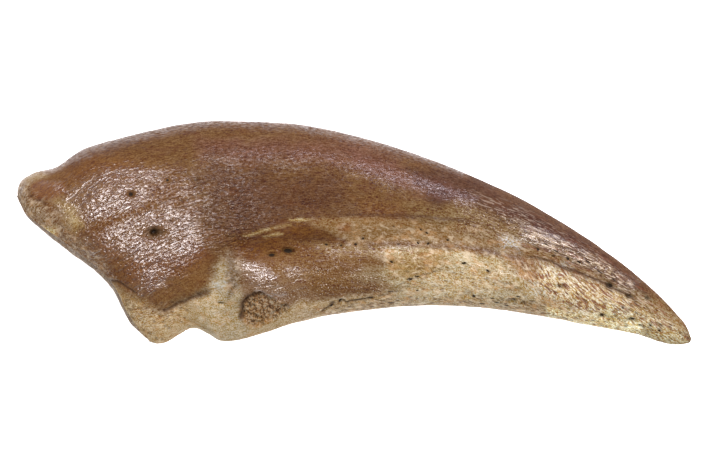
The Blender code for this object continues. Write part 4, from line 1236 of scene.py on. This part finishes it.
    # pale streaks on the raised fibre lines: partly the fibres' pale colour, partly painted highlight
    pale_line_and_highlight = n.maths("MULTIPLY", n.ramp(line, 0.52, 0.63, 0.0, 0.50), lined)
    colour = n.mix(pale_line_and_highlight, colour, colour_value("line_pale_and_highlight"))
    slit_colour = n.mix(falling, colour_value("slit_brown"), colour_value("furrow_red"))
    colour = n.mix(n.maths("MULTIPLY", slit, 0.85), colour, slit_colour)
    colour = n.mix(n.maths("MULTIPLY", prick, 0.9), colour, colour_value("pore_brown"))
    sponge = n.noise(main, (0.6, 0.55), 2.0, 0.6)
    pored = n.maths("MULTIPLY", n.ramp(sponge, 0.50, 0.42), broken)
    colour = n.mix(n.maths("MULTIPLY", pored, 0.8), colour, colour_value("pore_brown"))
    walls = n.maths("MULTIPLY", n.ramp(sponge, 0.52, 0.64), broken)
    colour = n.mix(n.maths("MULTIPLY", walls, 0.6), colour, colour_value("pale_cream"))
    # painted shade in the cracks and pits
    colour = n.mix(painted_shade, colour, colour_value("pore_brown"))
    plane_x, plane_y = n.attribute("plane_x"), n.attribute("plane_y")
    # painted shade in the cores of the holes and dashes
    painted_hole_shade = 0.0
    for hole in UPPER_HOLES + UPPER_DASHES:
        painted_hole_shade = n.maths("MAXIMUM", painted_hole_shade, n.hole_shade(plane_x, plane_y, hole))
    colour = n.mix(painted_hole_shade, colour, colour_value("painted_pore_shade"))
    painted_shade = n.maths("MAXIMUM", painted_shade, painted_hole_shade)
    hollow = n.maths("MAXIMUM", n.maths("MAXIMUM", slit, pored), painted_shade)
    hollow = n.maths("MAXIMUM", hollow, prick)

    # fine relief: wrinkles that break up the gloss, fibre lines, grit and slits
    relief = n.maths("MULTIPLY", wrinkle, n.maths("MULTIPLY_ADD", wrinkled, 0.12, 0.01))
    relief = n.maths("ADD", relief, n.maths("MULTIPLY", swell, n.maths("MULTIPLY", wrinkled, 0.09)))
    relief = n.maths("ADD", relief, n.maths("MULTIPLY", dimple, n.maths("MULTIPLY", wrinkled, 0.11)))
    relief = n.maths("ADD", relief, n.maths("MULTIPLY", fine_noise, n.maths("MULTIPLY", streaked, 0.035)))
    relief = n.maths("ADD", relief, n.maths("MULTIPLY", grain, 0.012))
    relief = n.maths("SUBTRACT", relief, n.maths("MULTIPLY", slit, 0.10))
    relief = n.maths("ADD", relief, n.maths("MULTIPLY", n.maths("MULTIPLY", line, lined), 0.10))
    relief = n.maths("ADD", relief, n.maths("MULTIPLY", n.maths("MULTIPLY", sponge, broken), 0.5))
    bump = n.add("Bump", {"Height": relief, "Strength": 1.0, "Distance": MM})

    # where the gloss is neither high nor low it comes and goes in patches
    between = n.maths("MULTIPLY", gloss, n.maths("SUBTRACT", 1.0, gloss))
    patchy = n.maths("MULTIPLY", n.maths("SUBTRACT", wrinkle, 0.5), between)
    gloss = n.maths("MULTIPLY_ADD", patchy, GLOSS_PATCHES, gloss)
    coat = n.maths("MULTIPLY", n.ramp(gloss, 0.05, 0.95), n.maths("SUBTRACT", 1.0, hollow))
    shader = n.add(
        "BsdfPrincipled",
        {
            "Base Color": colour,
            "Roughness": n.ramp(gloss, 0.0, 1.0, DULL, SHINY),
            "IOR": BONE_IOR,
            "Normal": bump.outputs[0],
            "Coat Weight": coat,
            "Coat Roughness": COAT_ROUGHNESS,
            "Coat IOR": COAT_IOR,
            "Coat Normal": bump.outputs[0],
        },
    )
    out = n.add("OutputMaterial")
    n.tree.links.new(shader.outputs[0], out.inputs[0])
    return material


# --- Camera, lights and table ---

PICTURE_WIDTH = 132.4  # width of the view at the claw's middle plane, in mm
PICTURE_CENTRE = (0.3, -0.7)  # the claw-plane point at the middle of the picture
LENS = 135.0
SENSOR = 36.0

# Lights: name, direction in the picture (right, up, towards the eye), distance, size, watts, colour.
LIGHTS = (
    ("key", (-0.13, 0.46, 0.87), 0.62, (0.24, 0.17), 2.85, (1.0, 0.95, 0.97)),
    ("second", (0.15, -0.07, 0.98), 0.62, (0.18, 0.20), 2.4, (1.0, 0.95, 0.97)),
    ("side", (0.55, 0.55, 0.62), 0.62, (0.20, 0.16), 1.1, (1.0, 0.95, 0.97)),
    ("strip", (0.30, 0.73, 0.61), 0.60, (0.42, 0.05), 1.2, (1.0, 0.88, 1.0)),
)
WORLD_STRENGTH = 0.31
TABLE_SIZE = 3.0
TABLE_GLOW = 0.85


def look_at(thing, place, target, up):
    """Turns a camera or a light at a place towards a target, with its top towards up."""
    back = (place - target).normalized()
    right = up.cross(back).normalized()
    turn = Matrix((right, back.cross(right), back)).transposed()
    thing.matrix_world = Matrix.Translation(place) @ turn.to_4x4()


def add_stage(middle):
    """Camera square to the claw's middle plane, four soft lights, a pale sky and a pale table."""
    scene = bpy.context.scene
    turn = rest_turn()
    right, up, back = (turn @ Vector(axis) for axis in ((1, 0, 0), (0, 1, 0), (0, 0, 1)))
    target = (turn @ Vector((*PICTURE_CENTRE, 0.0)) - Vector(middle)) * MM
    camera = bpy.data.objects.new("camera", bpy.data.cameras.new("camera"))
    camera.data.lens, camera.data.sensor_width = LENS, SENSOR
    camera.data.clip_start, camera.data.clip_end = 0.01, 20.0
    scene.collection.objects.link(camera)
    look_at(camera, target + back * (PICTURE_WIDTH * MM * LENS / SENSOR), target, up)
    scene.camera = camera
    for name, (x, y, z), distance, (width, height), watts, colour in LIGHTS:
        light = bpy.data.lights.new(name, "AREA")
        light.shape, light.size, light.size_y = "RECTANGLE", width, height
        light.energy, light.color = watts, colour
        lamp = bpy.data.objects.new(name, light)
        scene.collection.objects.link(lamp)
        towards = (right * x + up * y + back * z).normalized()
        look_at(lamp, target + towards * distance, target, up)
    world = bpy.data.worlds.new("studio")
    world.use_nodes = True
    sky = world.node_tree.nodes["Background"]
    sky.inputs["Color"].default_value = (1.0, 1.0, 1.0, 1.0)
    sky.inputs["Strength"].default_value = WORLD_STRENGTH
    scene.world = world
    bpy.ops.mesh.primitive_plane_add(size=TABLE_SIZE)
    table = bpy.context.object
    table.name = "table"
    material = bpy.data.materials.new("table_white")
    material.use_nodes = True
    shader = material.node_tree.nodes["Principled BSDF"]
    shader.inputs["Base Color"].default_value = (0.9, 0.9, 0.9, 1.0)
    shader.inputs["Roughness"].default_value = 0.7
    shader.inputs["Emission Color"].default_value = (1.0, 1.0, 1.0, 1.0)
    shader.inputs["Emission Strength"].default_value = TABLE_GLOW
    table.data.materials.append(material)
    scene.view_settings.view_transform = "Standard"


bone, middle = make_bone()
bone.data.materials.append(fossil_bone())
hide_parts("claw")
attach(bone, "root")
add_stage(middle)
